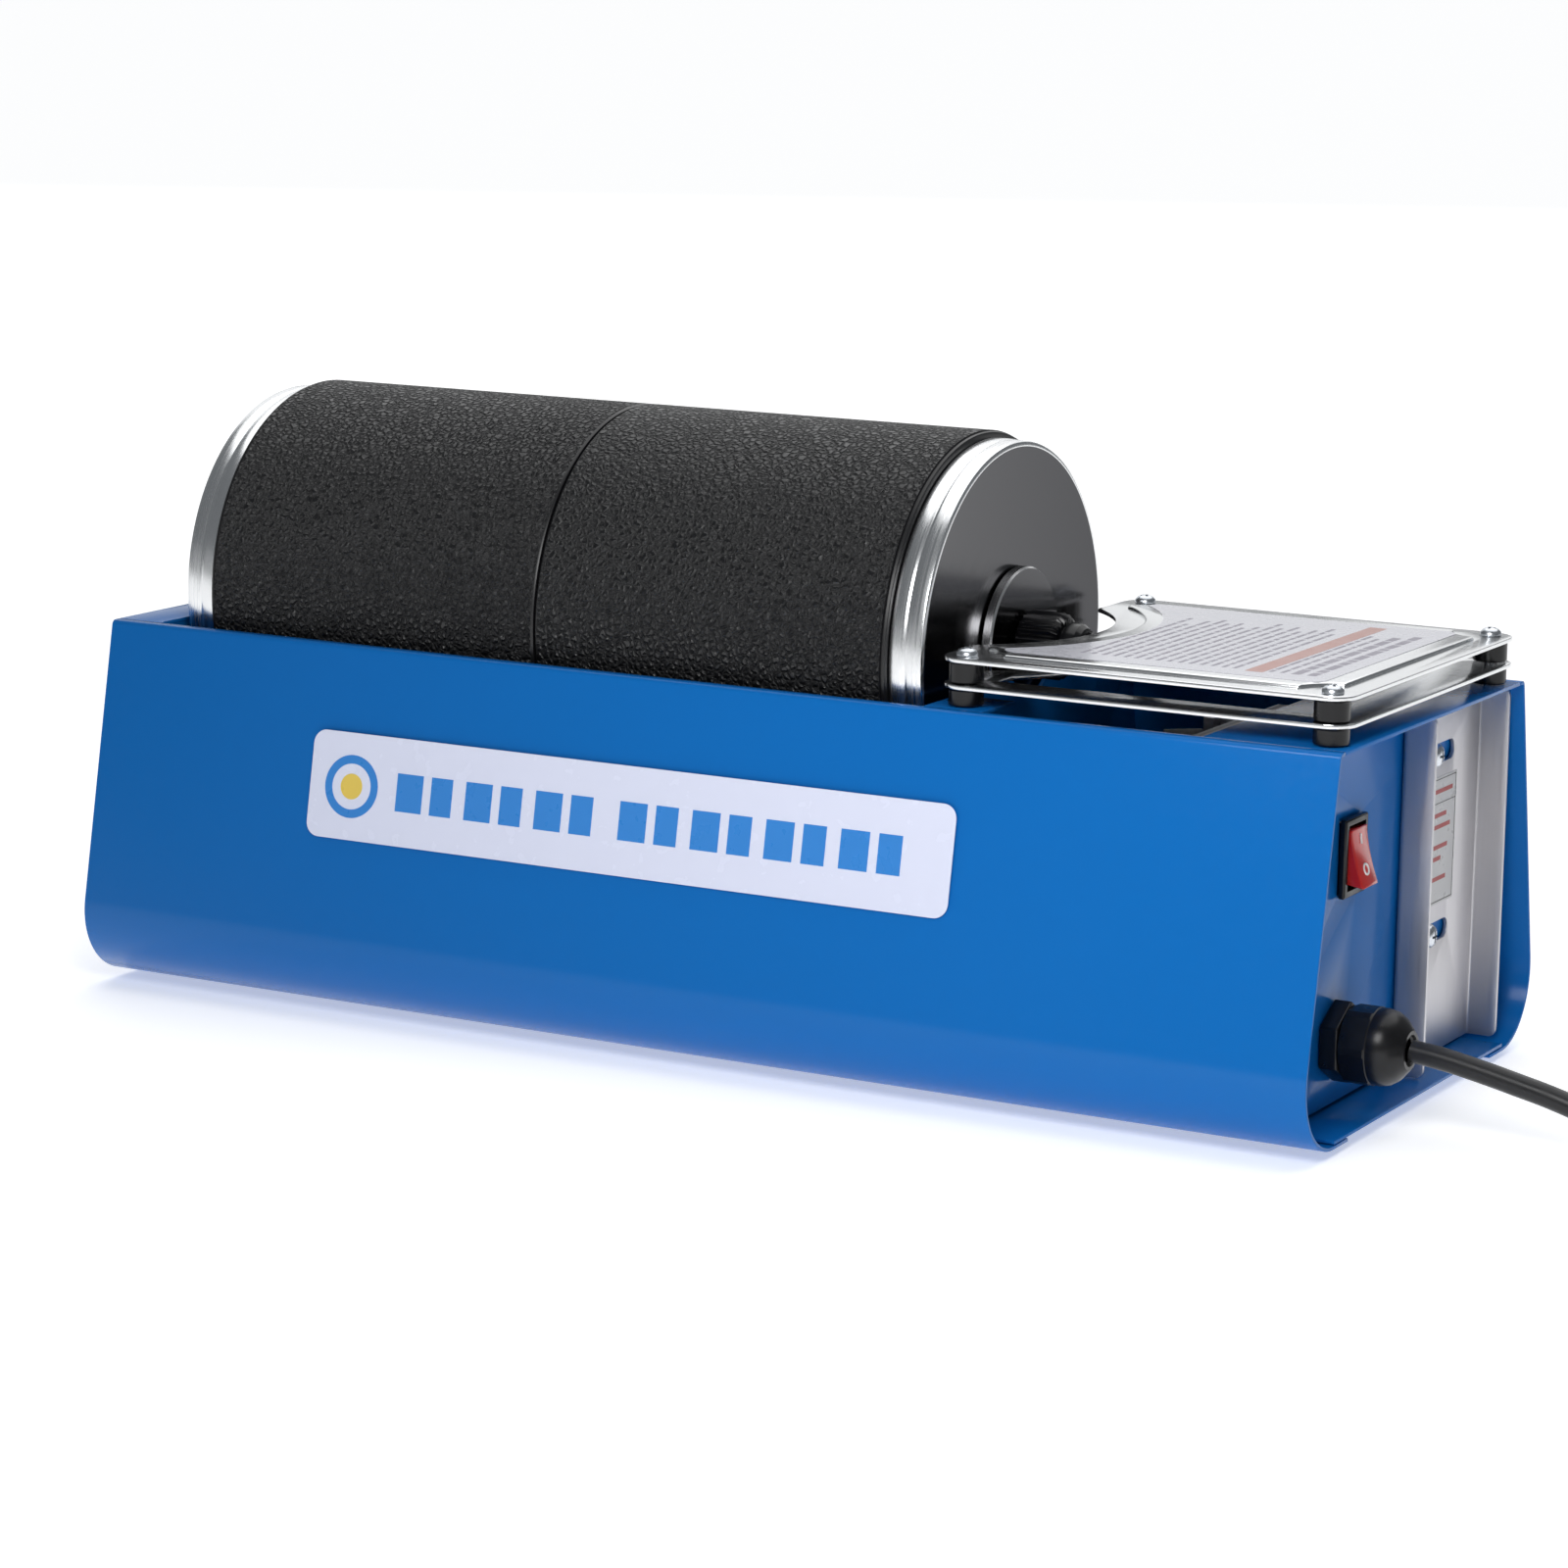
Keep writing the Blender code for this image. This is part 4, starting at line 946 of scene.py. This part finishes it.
class TUMBLER_OT_knobs(bpy.types.Operator):
    """Fluted lid knobs with a domed collar"""
    bl_idname = "tumbler.knobs"
    bl_label = "Lid knobs"

    def execute(self, context):
        start = BARREL_CENTRE
        flutes = sizes().flutes
        outline = [(122.6, 4.4), (122.6, 7.4), (123.6, 9.25), (133.6, 9.25), (134.9, 8.0),
                   (135.1, 5.9), (135.9, 5.9), (136.0, 6.9), (137.2, 7.0), (139.4, 6.6),
                   (140.8, 5.6), (141.2, 4.6), (141.2, 4.4), (122.6, 4.4)]
        knob = spun("right_grip", outline, start, steps=flutes * 4)
        for phases, depth in (((0,), 0.83), ((1, 3), 0.94)):
            self.press_flutes(knob, flutes, phases, depth)
        left = copied(knob, "left_grip", facing_left())
        finish_piece(knob, black_gloss(), "right_knob_body", "right_knob",
                     slot="black_plastic", smooth=24)
        finish_piece(left, black_gloss(), "left_knob_body", "left_knob",
                     slot="black_plastic", smooth=24)
        return {"FINISHED"}

    def press_flutes(self, knob, flutes, phases, depth):
        """Push every nth line of the grip towards the axis."""
        def on_line(vert):
            place = vert.co - BARREL_CENTRE
            turn = math.atan2(place.y, place.z) / (2 * math.pi) * flutes * 4
            on_grip = math.hypot(place.y, place.z) > 7.9 * MM and place.x < 135 * MM
            return on_grip and round(turn) % 4 in phases

        pick(knob, "VERT", on_line)
        bpy.ops.transform.resize(value=(1, depth, depth), center_override=BARREL_CENTRE)
        bpy.ops.object.mode_set(mode="OBJECT")


# ------------------------------------------------------------------ rollers and drive

class TUMBLER_OT_rollers(bpy.types.Operator):
    """Roller shafts, rubber sleeves and their flanged bushes"""
    bl_idname = "tumbler.rollers"
    bl_label = "Rollers"

    def execute(self, context):
        for name in ("drive", "idler"):
            body = f"{name}_roller"
            centre = left_face(f"{name}_shaft")
            centre.z = ROLLER_Z
            length = length_of(f"{name}_shaft")
            outline = [(0, 0), (0, 3.5), (0.5, 4.0), (2.2, 4.0), (2.2, 3.6), (3.1, 3.6),
                       (3.1, 4.0), (length - 0.5, 4.0), (length, 3.5), (length, 0)]
            shaft = spun(f"{name}_rod", outline, centre, steps=40)
            finish_piece(shaft, bright_steel(), body, f"{name}_shaft", slot="bright_steel")
            centre.x = low(f"{name}_sleeve").x
            length = length_of(f"{name}_sleeve")
            outline = [(0, 4.05), (0, 10.3), (0.7, 11.0), (length - 0.7, 11.0), (length, 10.3),
                       (length, 4.05), (0, 4.05)]
            sleeve = spun(f"{name}_tube", outline, centre, steps=64)
            finish_piece(sleeve, smooth_rubber("roller_rubber", 0.6), body, f"{name}_sleeve",
                         slot="black_rubber")
            self.bushes(name)
        return {"FINISHED"}

    def bushes(self, name):
        for side, axis in (("left", X), ("right", -X)):
            node = f"{name}_bush_{side}"
            a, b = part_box(node)
            start = Vector((a.x if side == "left" else b.x, (a.y + b.y) / 2, ROLLER_Z))
            outline = [(0, 4.06), (0, 4.9), (0.4, 5.25), (3.8, 5.25), (3.8, 7.2), (4.1, 7.5),
                       (5.5, 7.5), (5.9, 7.0), (5.9, 4.4), (5.6, 4.06), (0, 4.06)]
            bush = spun(f"{name}_{side}_bush", outline, start, axis=axis, steps=40)
            finish_piece(bush, sintered_bronze(), "base", node, slot="bronze")


class TUMBLER_OT_belt_drive(bpy.types.Operator):
    """Pulleys and the belt between them"""
    bl_idname = "tumbler.belt_drive"
    bl_label = "Belt drive"

    def execute(self, context):
        self.pulley("drive_pulley", "drive_roller", 4.05, 27.0)
        self.pulley("motor_pulley", "motor_rotor_body", 2.56, 7.0)
        refinish("drive_belt", smooth_rubber("belt_rubber", 0.55))
        return {"FINISHED"}

    def pulley(self, node, body, bore, radius):
        rim = radius + 3.0
        outline = [(0, bore), (0, rim - 0.4), (0.4, rim), (1.2, rim), (2.2, radius), (7.8, radius),
                   (8.8, rim), (9.6, rim), (10, rim - 0.4), (10, bore), (0, bore)]
        wheel = spun(f"{node}_wheel", outline, left_face(node), steps=72)
        finish_piece(wheel, white_nylon(), body, node, slot="nylon")


class TUMBLER_OT_motor(bpy.types.Operator):
    """Shaded-pole motor with its brackets, rotor and fan"""
    bl_idname = "tumbler.motor"
    bl_label = "Motor"

    def execute(self, context):
        refinish("stator_core", laminations())
        for node in ("motor_bracket_inner", "motor_bracket_outer"):
            refinish(node, channel_aluminium())
        self.winding()
        self.rotor()
        self.fan()
        return {"FINISHED"}

    def winding(self):
        a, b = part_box("stator_coil")
        coil = block("winding", a, b)
        soften(coil, 5, 6)
        core_a, core_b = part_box("stator_core")
        carve(coil, block("limb", (core_a.x - 0.4 * MM, -26.4 * MM, a.z - 0.01),
                          (core_b.x + 0.4 * MM, -11.6 * MM, b.z + 0.01)))
        finish_piece(coil, copper_wire(), "motor_carriage", "stator_coil", slot="copper_winding")

    def rotor(self):
        left, length = low("motor_rotor").x, length_of("motor_rotor")
        start, end = ((side.x - left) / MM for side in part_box("stator_core"))
        outline = [(0, 0), (0, 2.1), (0.4, 2.5), (start - 3, 2.5), (start - 3, 6), (start, 14),
                   (start + 0.3, 14.5), (end - 0.3, 14.5), (end, 14), (end + 3, 6), (end + 3, 2.5),
                   (length - 0.4, 2.5), (length, 2.1), (length, 0)]
        rotor = spun("rotor", outline, (left, MOTOR.y, MOTOR.z), steps=48)
        finish_piece(rotor, bright_steel(), "motor_rotor_body", "motor_rotor", slot="bright_steel")

    def fan(self):
        a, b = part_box("motor_fan")
        hub = spun("fan", [(0.3, 2.6), (0.3, 6.4), (0.9, 7.0), (9.4, 7.0), (10.0, 6.4),
                           (10.0, 2.6), (0.3, 2.6)], (a.x, MOTOR.y, MOTOR.z), steps=40)
        middle_x = (a.x + b.x) / 2
        blades = []
        for number in range(6):
            blade = block("blade", (-5.6 * MM, -0.6 * MM, 6.6 * MM),
                          (5.6 * MM, 0.6 * MM, 24.6 * MM))
            soften(blade, 0.4, 2)
            blade.data.transform(Matrix.Rotation(math.radians(38), 4, "Z"))
            blade.data.transform(Matrix.Rotation(math.radians(60 * number), 4, "X"))
            blade.data.transform(Matrix.Translation((middle_x, MOTOR.y, MOTOR.z)))
            blades.append(blade)
        finish_piece(gather("fan_wheel", [hub] + blades), white_nylon(), "motor_rotor_body",
                     "motor_fan", slot="nylon")


# ------------------------------------------------------------------ deck over the motor

def deck_edge(z, inset, corner, bite):
    """Rounded rectangle, or with dented corners if corner is negative, and an arc bitten out."""
    a, b = DECK
    left, right = a.x + inset, b.x - inset
    half = b.y - inset
    reach = math.degrees(math.acos((left - NOTCH.x) / bite))
    points = []
    for x, side, y, end, out, dent in (
            (left, -1, -half, -1, 180, 90), (right, 1, -half, -1, 270, 180),
            (right, 1, half, 1, 0, 270), (left, -1, half, 1, 90, 0)):
        if corner > 0:
            points += arc_points((x - side * corner, y - end * corner, z), corner,
                                 out, out + 90, 8, "XY")
        else:
            points += arc_points((x, y, z), -corner, dent, dent - 90, 8, "XY")
    points += arc_points((NOTCH.x, 0, z), bite, reach, -reach, 40, "XY")
    return points


class TUMBLER_OT_deck(bpy.types.Operator):
    """Two deck plates, the lower one open for cooling air, the upper with its raised field"""
    bl_idname = "tumbler.deck"
    bl_label = "Deck plates"

    def execute(self, context):
        self.vent_plate()
        self.top_plate()
        self.spacers()
        self.screws()
        return {"FINISHED"}

    def blank(self, name, node):
        a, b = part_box(node)
        return slab(name, deck_edge(a.z, 0, 7 * MM, 49 * MM), (0, 0, b.z - a.z))

    def vent_plate(self):
        plate = self.blank("vent_deck", "vent_plate")
        carve(plate, slab("window", self.window(low("vent_plate").z - 2 * MM), (0, 0, 6 * MM)))
        soften(plate, 0.25, 2, 60)
        finish_piece(plate, deck_steel(), "base", "vent_plate", slot="bright_steel")

    def window(self, z):
        left, right, half = 86 * MM, 174.5 * MM, 48.6 * MM
        reach = math.degrees(math.acos((left - NOTCH.x) / (58 * MM)))
        corners = [Vector((x, y, z)) for x, y in
                   ((left, -half), (right, -half), (right, half), (left, half))]
        return corners + arc_points((NOTCH.x, 0, z), 58 * MM, reach, -reach, 32, "XY")

    def top_plate(self):
        plate = self.blank("top_deck", "top_plate")
        soften(plate, 0.25, 2, 60)
        field = slab("raised_field", deck_edge(DECK[1].z - 1.0 * MM, 7.0 * MM, -9 * MM, 57 * MM),
                     (0, 0, 1.0 * MM + FIELD_RISE))
        soften(field, 0.85, 3, 50)
        weld(plate, field)
        finish_piece(plate, deck_steel(), "base", "top_plate", slot="bright_steel")

    def spacers(self):
        for level in ("lower", "upper"):
            for number in range(1, 5):
                node = f"{level}_spacer_{number}"
                a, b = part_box(node)
                tall = (b.z - a.z) / MM
                place = middle(node)
                place.z = a.z
                outline = [(0, 2.35), (0, 4.4), (0.3, 4.7), (tall - 0.3, 4.7), (tall, 4.4),
                           (tall, 2.35), (0, 2.35)]
                spacer = spun(f"{level}_bush_{number}", outline, place, axis=Z, steps=48)
                finish_piece(spacer, black_gloss(), "base", node, slot="black_plastic")

    def screws(self):
        head = pan_screw("deck_screw", 14.5)
        for number in range(1, 5):
            place = middle(f"upper_spacer_{number}")
            place.z = DECK[1].z + 0.02 * MM
            turn = Matrix.Rotation(math.radians(25 + 50 * number), 4, "Z")
            screw = copied(head, f"deck_screw_{number}", Matrix.Translation(place) @ turn)
            finish_piece(screw, zinc(), "base", slot="bright_steel")
        bpy.data.objects.remove(head)


def pan_screw(name, length, radius=2.9, thread=1.45):
    """Pan-head screw standing on the origin with its shank below, cross recess on top."""
    outline = [(-length, 0), (-length, thread - 0.5), (-length + 0.6, thread), (-0.0, thread),
               (0.0, radius - 0.15), (0.25, radius), (0.9, radius - 0.05), (1.7, radius - 0.7),
               (2.15, radius - 1.8), (2.25, 0)]
    screw = spun(name, outline, (0, 0, 0), axis=Z, steps=40)
    for turn in (0, 90):
        reach = 0.52 * radius * MM
        recess = block("recess", (-reach, -0.35 * MM, 1.0 * MM), (reach, 0.35 * MM, 3.0 * MM))
        recess.data.transform(Matrix.Rotation(math.radians(turn), 4, "Z"))
        carve(screw, recess)
    return screw


class TUMBLER_OT_deck_label(bpy.types.Operator):
    """Pale film on the raised field with plain printed rows"""
    bl_idname = "tumbler.deck_label"
    bl_label = "Deck label"

    def execute(self, context):
        z = DECK[1].z + FIELD_RISE + 0.02 * MM
        film = slab("deck_film", deck_edge(z, 12.5 * MM, 4 * MM, 62 * MM), (0, 0, 0.08 * MM))
        paper = moulded("label_film", (0.62, 0.62, 0.68), 0.28, coat=0.3)
        finish_piece(film, paper, "base", slot="pale_badge", smooth=0)
        top = z + 0.085 * MM
        ink = moulded("grey_ink", (0.30, 0.28, 0.34), 0.4)
        red = moulded("red_ink", (0.52, 0.30, 0.27), 0.4)
        rows = []
        x = 172.0
        for number in range(19):
            wide = 2.4 if number < 2 else 1.1
            reach = 30 - 9 * ((number * 37) % 5) / 4
            start = -40.0
            while start < reach:
                run = 3.0 + 5.0 * ((number * 53 + int(start) * 29) % 7) / 6
                rows.append(block("word", ((x - wide) * MM, start * MM, top),
                                  (x * MM, min(start + run, reach + 4) * MM, top + 0.02 * MM)))
                start += run + 1.2
            x -= wide + 2.0
            if number == 3:
                x -= 7.0
        finish_piece(gather("printed_rows", rows), ink, "base", smooth=0)
        band = block("printed_band", (153.2 * MM, -42 * MM, top),
                     (158.2 * MM, 43 * MM, top + 0.02 * MM))
        finish_piece(band, red, "base", smooth=0)
        return {"FINISHED"}


# ------------------------------------------------------------------ right end fittings

class TUMBLER_OT_channel(bpy.types.Operator):
    """Belt-tension channel with its slots, label and motor screws"""
    bl_idname = "tumbler.channel"
    bl_label = "Tension channel"

    def execute(self, context):
        a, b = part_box("tension_channel")
        outline = self.section(a, b)
        channel = swept("slotted_channel", outline, (0, 0, b.z - a.z))
        thicken(channel, 1.2 * MM, X)
        self.round_corners(channel, a, b)
        for node in ("motor_screw_upper", "motor_screw_lower"):
            z = middle(node).z
            carve(channel, self.slot_tool(a.x, z))
        soften(channel, 0.2, 2, 60)
        finish_piece(channel, channel_aluminium(), "base", "tension_channel",
                     slot="spun_aluminium")
        self.label(a)
        self.screws()
        return {"FINISHED"}

    def section(self, a, b):
        r = 1.8 * MM
        points = [Vector((b.x, a.y, a.z))]
        points += arc_points((a.x + r, a.y + r, a.z), r, 270, 180, 6, "XY")
        points += arc_points((a.x + r, b.y - r, a.z), r, 180, 90, 6, "XY")
        return points + [Vector((b.x, b.y, a.z))]

    def round_corners(self, channel, a, b):
        def flange_corner(edge):
            p, q = (v.co for v in edge.verts)
            across = abs(p.y - q.y) > 0.9 * MM and abs(p.x - q.x) < 0.01 * MM
            outer = p.x > b.x - 0.02 * MM
            end = min(abs(p.z - a.z), abs(p.z - b.z)) < 0.02 * MM
            return across and outer and end and abs(p.z - q.z) < 0.01 * MM

        pick(channel, "EDGE", flange_corner)
        bpy.ops.mesh.bevel(offset=2.2 * MM, segments=5)
        bpy.ops.object.mode_set(mode="OBJECT")

    def slot_tool(self, x, z):
        points = arc_points((x - 3 * MM, 42.5 * MM, z), 2.7 * MM, -90, 90, 10)
        points += arc_points((x - 3 * MM, 26.2 * MM, z), 2.7 * MM, 90, 270, 10)
        return slab("slot", points, (8 * MM, 0, 0))

    def label(self, a):
        x = a.x + 1.2 * MM
        card = block("channel_card", (x + 0.02 * MM, 20 * MM, 46.7 * MM),
                     (x + 0.12 * MM, 47.5 * MM, 82 * MM))
        finish_piece(card, moulded("channel_film", (0.55, 0.55, 0.56), 0.3), "base",
                     slot="pale_badge", smooth=0)
        x += 0.14 * MM
        frame_bars = [((20.6, 47.3), (46.9, 47.5)), ((20.6, 81.2), (46.9, 81.4)),
                      ((20.6, 47.3), (20.8, 81.4)), ((46.7, 47.3), (46.9, 81.4)),
                      ((20.6, 74.6), (46.9, 74.8))]
        lines = [block("line", (x, p[0] * MM, p[1] * MM), (x + 0.02 * MM, q[0] * MM, q[1] * MM))
                 for p, q in frame_bars]
        finish_piece(gather("channel_frame", lines), moulded("black_ink", (0.03, 0.03, 0.03), 0.5),
                     "base", smooth=0)
        rows = [block("row", (x, 23 * MM, z * MM), (x + 0.02 * MM, end * MM, (z + 1.2) * MM))
                for z, end in ((77.4, 44.6), (70.8, 40.5), (67.6, 43.5), (62.0, 42.0), (58.8, 37.5),
                               (53.2, 41.5))]
        finish_piece(gather("channel_rows", rows), moulded("channel_ink", (0.42, 0.10, 0.10), 0.5),
                     "base", smooth=0)

    def screws(self):
        for name in ("upper", "lower"):
            a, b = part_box(f"motor_screw_{name}")
            length = (b.x - 2.6 * MM - a.x) / MM
            screw = pan_screw(f"motor_bolt_{name}", length, 3.3, 1.95)
            turn = Matrix.Rotation(math.radians(90), 4, "Y")
            place = Matrix.Translation((b.x - 2.6 * MM, (a.y + b.y) / 2, (a.z + b.z) / 2))
            screw.data.transform(place @ turn)
            finish_piece(screw, zinc(), "motor_carriage", f"motor_screw_{name}",
                         slot="bright_steel")


class TUMBLER_OT_switch(bpy.types.Operator):
    """Snap-in rocker switch"""
    bl_idname = "tumbler.switch"
    bl_label = "Switch"

    def execute(self, context):
        a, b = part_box("switch_body")
        y, z, face = (a.y + b.y) / 2, (a.z + b.z) / 2, b.x
        bezel = block("switch_bezel", (face - 2.0 * MM, a.y, a.z), b)
        soften(bezel, 0.7, 3)
        housing = block("housing", (a.x, y - 6.4 * MM, z - 9.4 * MM),
                        (face - 1.0 * MM, y + 6.4 * MM, z + 9.4 * MM))
        weld(bezel, housing)
        pocket = block("pocket", (face - 8.5 * MM, y - 5.7 * MM, z - 8.7 * MM),
                       (face + 2 * MM, y + 5.7 * MM, z + 8.7 * MM))
        carve(bezel, pocket)
        finish_piece(bezel, black_gloss(), "base", "switch_body", slot="black_plastic", smooth=30)
        self.rocker(face, y, z)
        return {"FINISHED"}

    def rocker(self, face, y, z):
        def point(x, height):
            return Vector((face + x * MM, y - 5.25 * MM, z + height * MM))

        hollow = [point(0.6 + 3.7 * (i / 16) ** 1.6, 7.7 - 15.4 * i / 16) for i in range(17)]
        back = [point(-3.6, -6.3), point(-6.6, -1.5), point(-6.6, 1.5), point(-5.0, 6.9)]
        rocker = slab("red_rocker", hollow + back, (0, 10.5 * MM, 0))
        soften(rocker, 0.45, 3)
        red = moulded("red_rocker_plastic", colours().rocker, 0.16, coat=0.6)
        finish_piece(rocker, red, "rocker_body", "rocker", slot="red_plastic", smooth=30)
        white = moulded("white_mark", (0.85, 0.82, 0.80), 0.35)
        stroke = block("mark_on", (face + 0.72 * MM, y - 0.3 * MM, z + 3.3 * MM),
                       (face + 1.22 * MM, y + 0.3 * MM, z + 6.0 * MM))
        stroke.data.transform(self.tilt(face + 0.9 * MM, z + 4.6 * MM, -8))
        finish_piece(stroke, white, "rocker_body", smooth=0)
        clear_selection()
        bpy.ops.mesh.primitive_torus_add(major_radius=1.4 * MM, minor_radius=0.3 * MM,
                                         major_segments=40, minor_segments=8,
                                         location=(face + 2.75 * MM, y, z - 3.2 * MM),
                                         rotation=(0, math.radians(90 - 17), 0))
        ring = fresh("mark_off")
        finish_piece(ring, white, "rocker_body")

    def tilt(self, x, z, degrees):
        place = Matrix.Translation((x, 0, z))
        return place @ Matrix.Rotation(math.radians(degrees), 4, "Y") @ place.inverted()


class TUMBLER_OT_gland(bpy.types.Operator):
    """Cable gland: hexagon body and domed clamping nut"""
    bl_idname = "tumbler.gland"
    bl_label = "Cord gland"

    def execute(self, context):
        a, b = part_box("gland_body")
        nut_a = low("gland_nut")
        y, z = middle("gland_nut").y, middle("gland_nut").z
        face = nut_a.x - 5.3 * MM
        flange = self.hexagon("gland_hex", face, face + 5 * MM, y, z, 19.0)
        thread = [(0, 3.4), (0, 7.2), (0.4, 7.6), (10.0, 7.6), (10.0, 3.4), (0, 3.4)]
        spigot = [(4.5, 3.4), (4.5, 6.8), (12.7, 6.8), (12.7, 3.4), (4.5, 3.4)]
        for outline, x in ((thread, a.x), (spigot, face)):
            weld(flange, spun("tube", outline, (x, y, z), steps=48))
        carve(flange, bar("bore", (a.x - 0.01, y, z), (b.x + 0.01, y, z), 3.4 * MM, 48))
        finish_piece(flange, black_nylon(), "base", "gland_body", slot="black_plastic", smooth=30)

        length = length_of("gland_nut")
        dome = [(0, 7.1), (0, 9.9), (0.5, 10.5), (7.0, 10.5), (7.6, 10.15), (8.2, 10.15),
                (9.2, 10.2), (11.6, 9.7), (13.8, 8.3), (15.4, 6.4), (length, 5.2), (length, 4.2),
                (length - 0.8, 3.9), (length - 1.2, 3.35), (8.4, 3.35), (8.4, 7.1), (0, 7.1)]
        nut = spun("gland_dome", dome, (nut_a.x, y, z), steps=72)
        for number in range(6):
            angle = math.radians(30 + 60 * number)
            flat = block("flat", (nut_a.x - 1 * MM, 9.55 * MM, -12 * MM),
                         (nut_a.x + 7.3 * MM, 16 * MM, 12 * MM))
            flat.data.transform(Matrix.Rotation(angle, 4, "X"))
            flat.data.transform(Matrix.Translation((0, y, z)))
            carve(nut, flat)
        finish_piece(nut, black_nylon(), "base", "gland_nut", slot="black_plastic", smooth=30)
        return {"FINISHED"}

    def hexagon(self, name, start, end, y, z, flats):
        nut = bar(name, (start, 0, 0), (end, 0, 0), flats / math.sqrt(3) * MM, 6)
        nut.data.transform(Matrix.Translation((0, y, z)))
        return soften(nut, 0.5, 3)


class TUMBLER_OT_name_plate(bpy.types.Operator):
    """Pale plate on the front sheet with a plain printed pattern"""
    bl_idname = "tumbler.name_plate"
    bl_label = "Name plate"

    def execute(self, context):
        a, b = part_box("front_badge")
        z = (a.z + b.z) / 2
        wall = -(WALL_TOP_Y + (WALL_TOP + FOOT - z / MM) * math.tan(LEAN)) * MM
        centre = Vector(((a.x + b.x) / 2, wall, z))
        self.place = Matrix.Translation(centre) @ Matrix.Rotation(-LEAN, 4, "X")
        half_x, half_z = (b.x - a.x) / 2 - 0.1 * MM, 15.0 * MM
        outline = []
        for sx, sz, start in ((1, -1, 270), (1, 1, 0), (-1, 1, 90), (-1, -1, 180)):
            corner = (sx * (half_x - 4 * MM), -0.35 * MM, sz * (half_z - 4 * MM))
            outline += arc_points(corner, 4 * MM, start, start + 90, 8, "XZ")
        plate = slab("name_plate", outline, (0, -0.4 * MM, 0))
        plate.data.transform(self.place)
        soften(plate, 0.12, 2, 60)
        ground = moulded("name_plate_film", colours().plate, 0.25, coat=0.4)
        finish_piece(plate, ground, "base", "front_badge", slot="pale_badge", smooth=0)
        blue = moulded("plate_blue", colours().print_blue, 0.3, coat=0.3)
        yellow = moulded("plate_yellow", (0.75, 0.55, 0.10), 0.3, coat=0.3)
        self.words(blue)
        self.emblem(blue, yellow)
        return {"FINISHED"}

    def words(self, ink):
        """Two runs of plain upright blocks, standing for words."""
        bars = []
        for start, count in ((-72.0, 6), (0.0, 8)):
            for number in range(count):
                left = start + number * 11.3
                wide = 8.6 - 1.6 * ((number * 3) % 2)
                bars.append(self.patch(left, -5.3, left + wide, 5.3))
        finish_piece(gather("plate_blocks", bars), ink, "base", smooth=0)

    def patch(self, x0, z0, x1, z1):
        tile = block("tile", (x0 * MM, -0.80 * MM, z0 * MM), (x1 * MM, -0.76 * MM, z1 * MM))
        tile.data.transform(self.place)
        return tile

    def emblem(self, blue, yellow):
        """A plain ring round a dot."""
        for name, small, large, ink in (("plate_ring", 6.4, 8.8, blue),
                                        ("plate_dot", 0.0, 3.6, yellow)):
            outline = [(0, small), (0, large), (0.04, large), (0.04, small)]
            if small:
                outline.append((0, small))
            ring = spun(name, outline, (0, 0, 0), axis=-Y, steps=64)
            ring.data.transform(Matrix.Translation((-87 * MM, -0.76 * MM, 0)))
            ring.data.transform(self.place)
            finish_piece(ring, ink, "base", smooth=0)


# ------------------------------------------------------------------ add-on

STEPS = ("stage", "cord", "side_sheets", "end_panels", "feet", "barrels", "lids", "knobs",
         "rollers", "belt_drive", "motor", "deck", "deck_label", "channel", "switch", "gland",
         "name_plate")


class TUMBLER_PT_panel(bpy.types.Panel):
    """Sizes, colours and one button for each group of pieces"""
    bl_idname = "TUMBLER_PT_panel"
    bl_label = "Rock Tumbler"
    bl_space_type = "VIEW_3D"
    bl_region_type = "UI"
    bl_category = "Tumbler"

    def draw(self, context):
        for group in (context.scene.tumbler_sizes, context.scene.tumbler_colours):
            box = self.layout.box()
            for name in group.__annotations__:
                box.prop(group, name)
        for step in STEPS:
            self.layout.operator(f"tumbler.{step}")


CLASSES = (TumblerSizes, TumblerColours, TUMBLER_OT_stage, TUMBLER_OT_cord,
           TUMBLER_OT_side_sheets, TUMBLER_OT_end_panels, TUMBLER_OT_feet, TUMBLER_OT_barrels,
           TUMBLER_OT_lids, TUMBLER_OT_knobs, TUMBLER_OT_rollers, TUMBLER_OT_belt_drive,
           TUMBLER_OT_motor, TUMBLER_OT_deck, TUMBLER_OT_deck_label, TUMBLER_OT_channel,
           TUMBLER_OT_switch, TUMBLER_OT_gland, TUMBLER_OT_name_plate, TUMBLER_PT_panel)


def register():
    for cls in CLASSES:
        bpy.utils.register_class(cls)
    bpy.types.Scene.tumbler_sizes = bpy.props.PointerProperty(type=TumblerSizes)
    bpy.types.Scene.tumbler_colours = bpy.props.PointerProperty(type=TumblerColours)


def unregister():
    del bpy.types.Scene.tumbler_colours
    del bpy.types.Scene.tumbler_sizes
    for cls in reversed(CLASSES):
        bpy.utils.unregister_class(cls)


def main():
    register()
    for step in STEPS:
        getattr(bpy.ops.tumbler, step)()


if __name__ == "__main__":
    main()
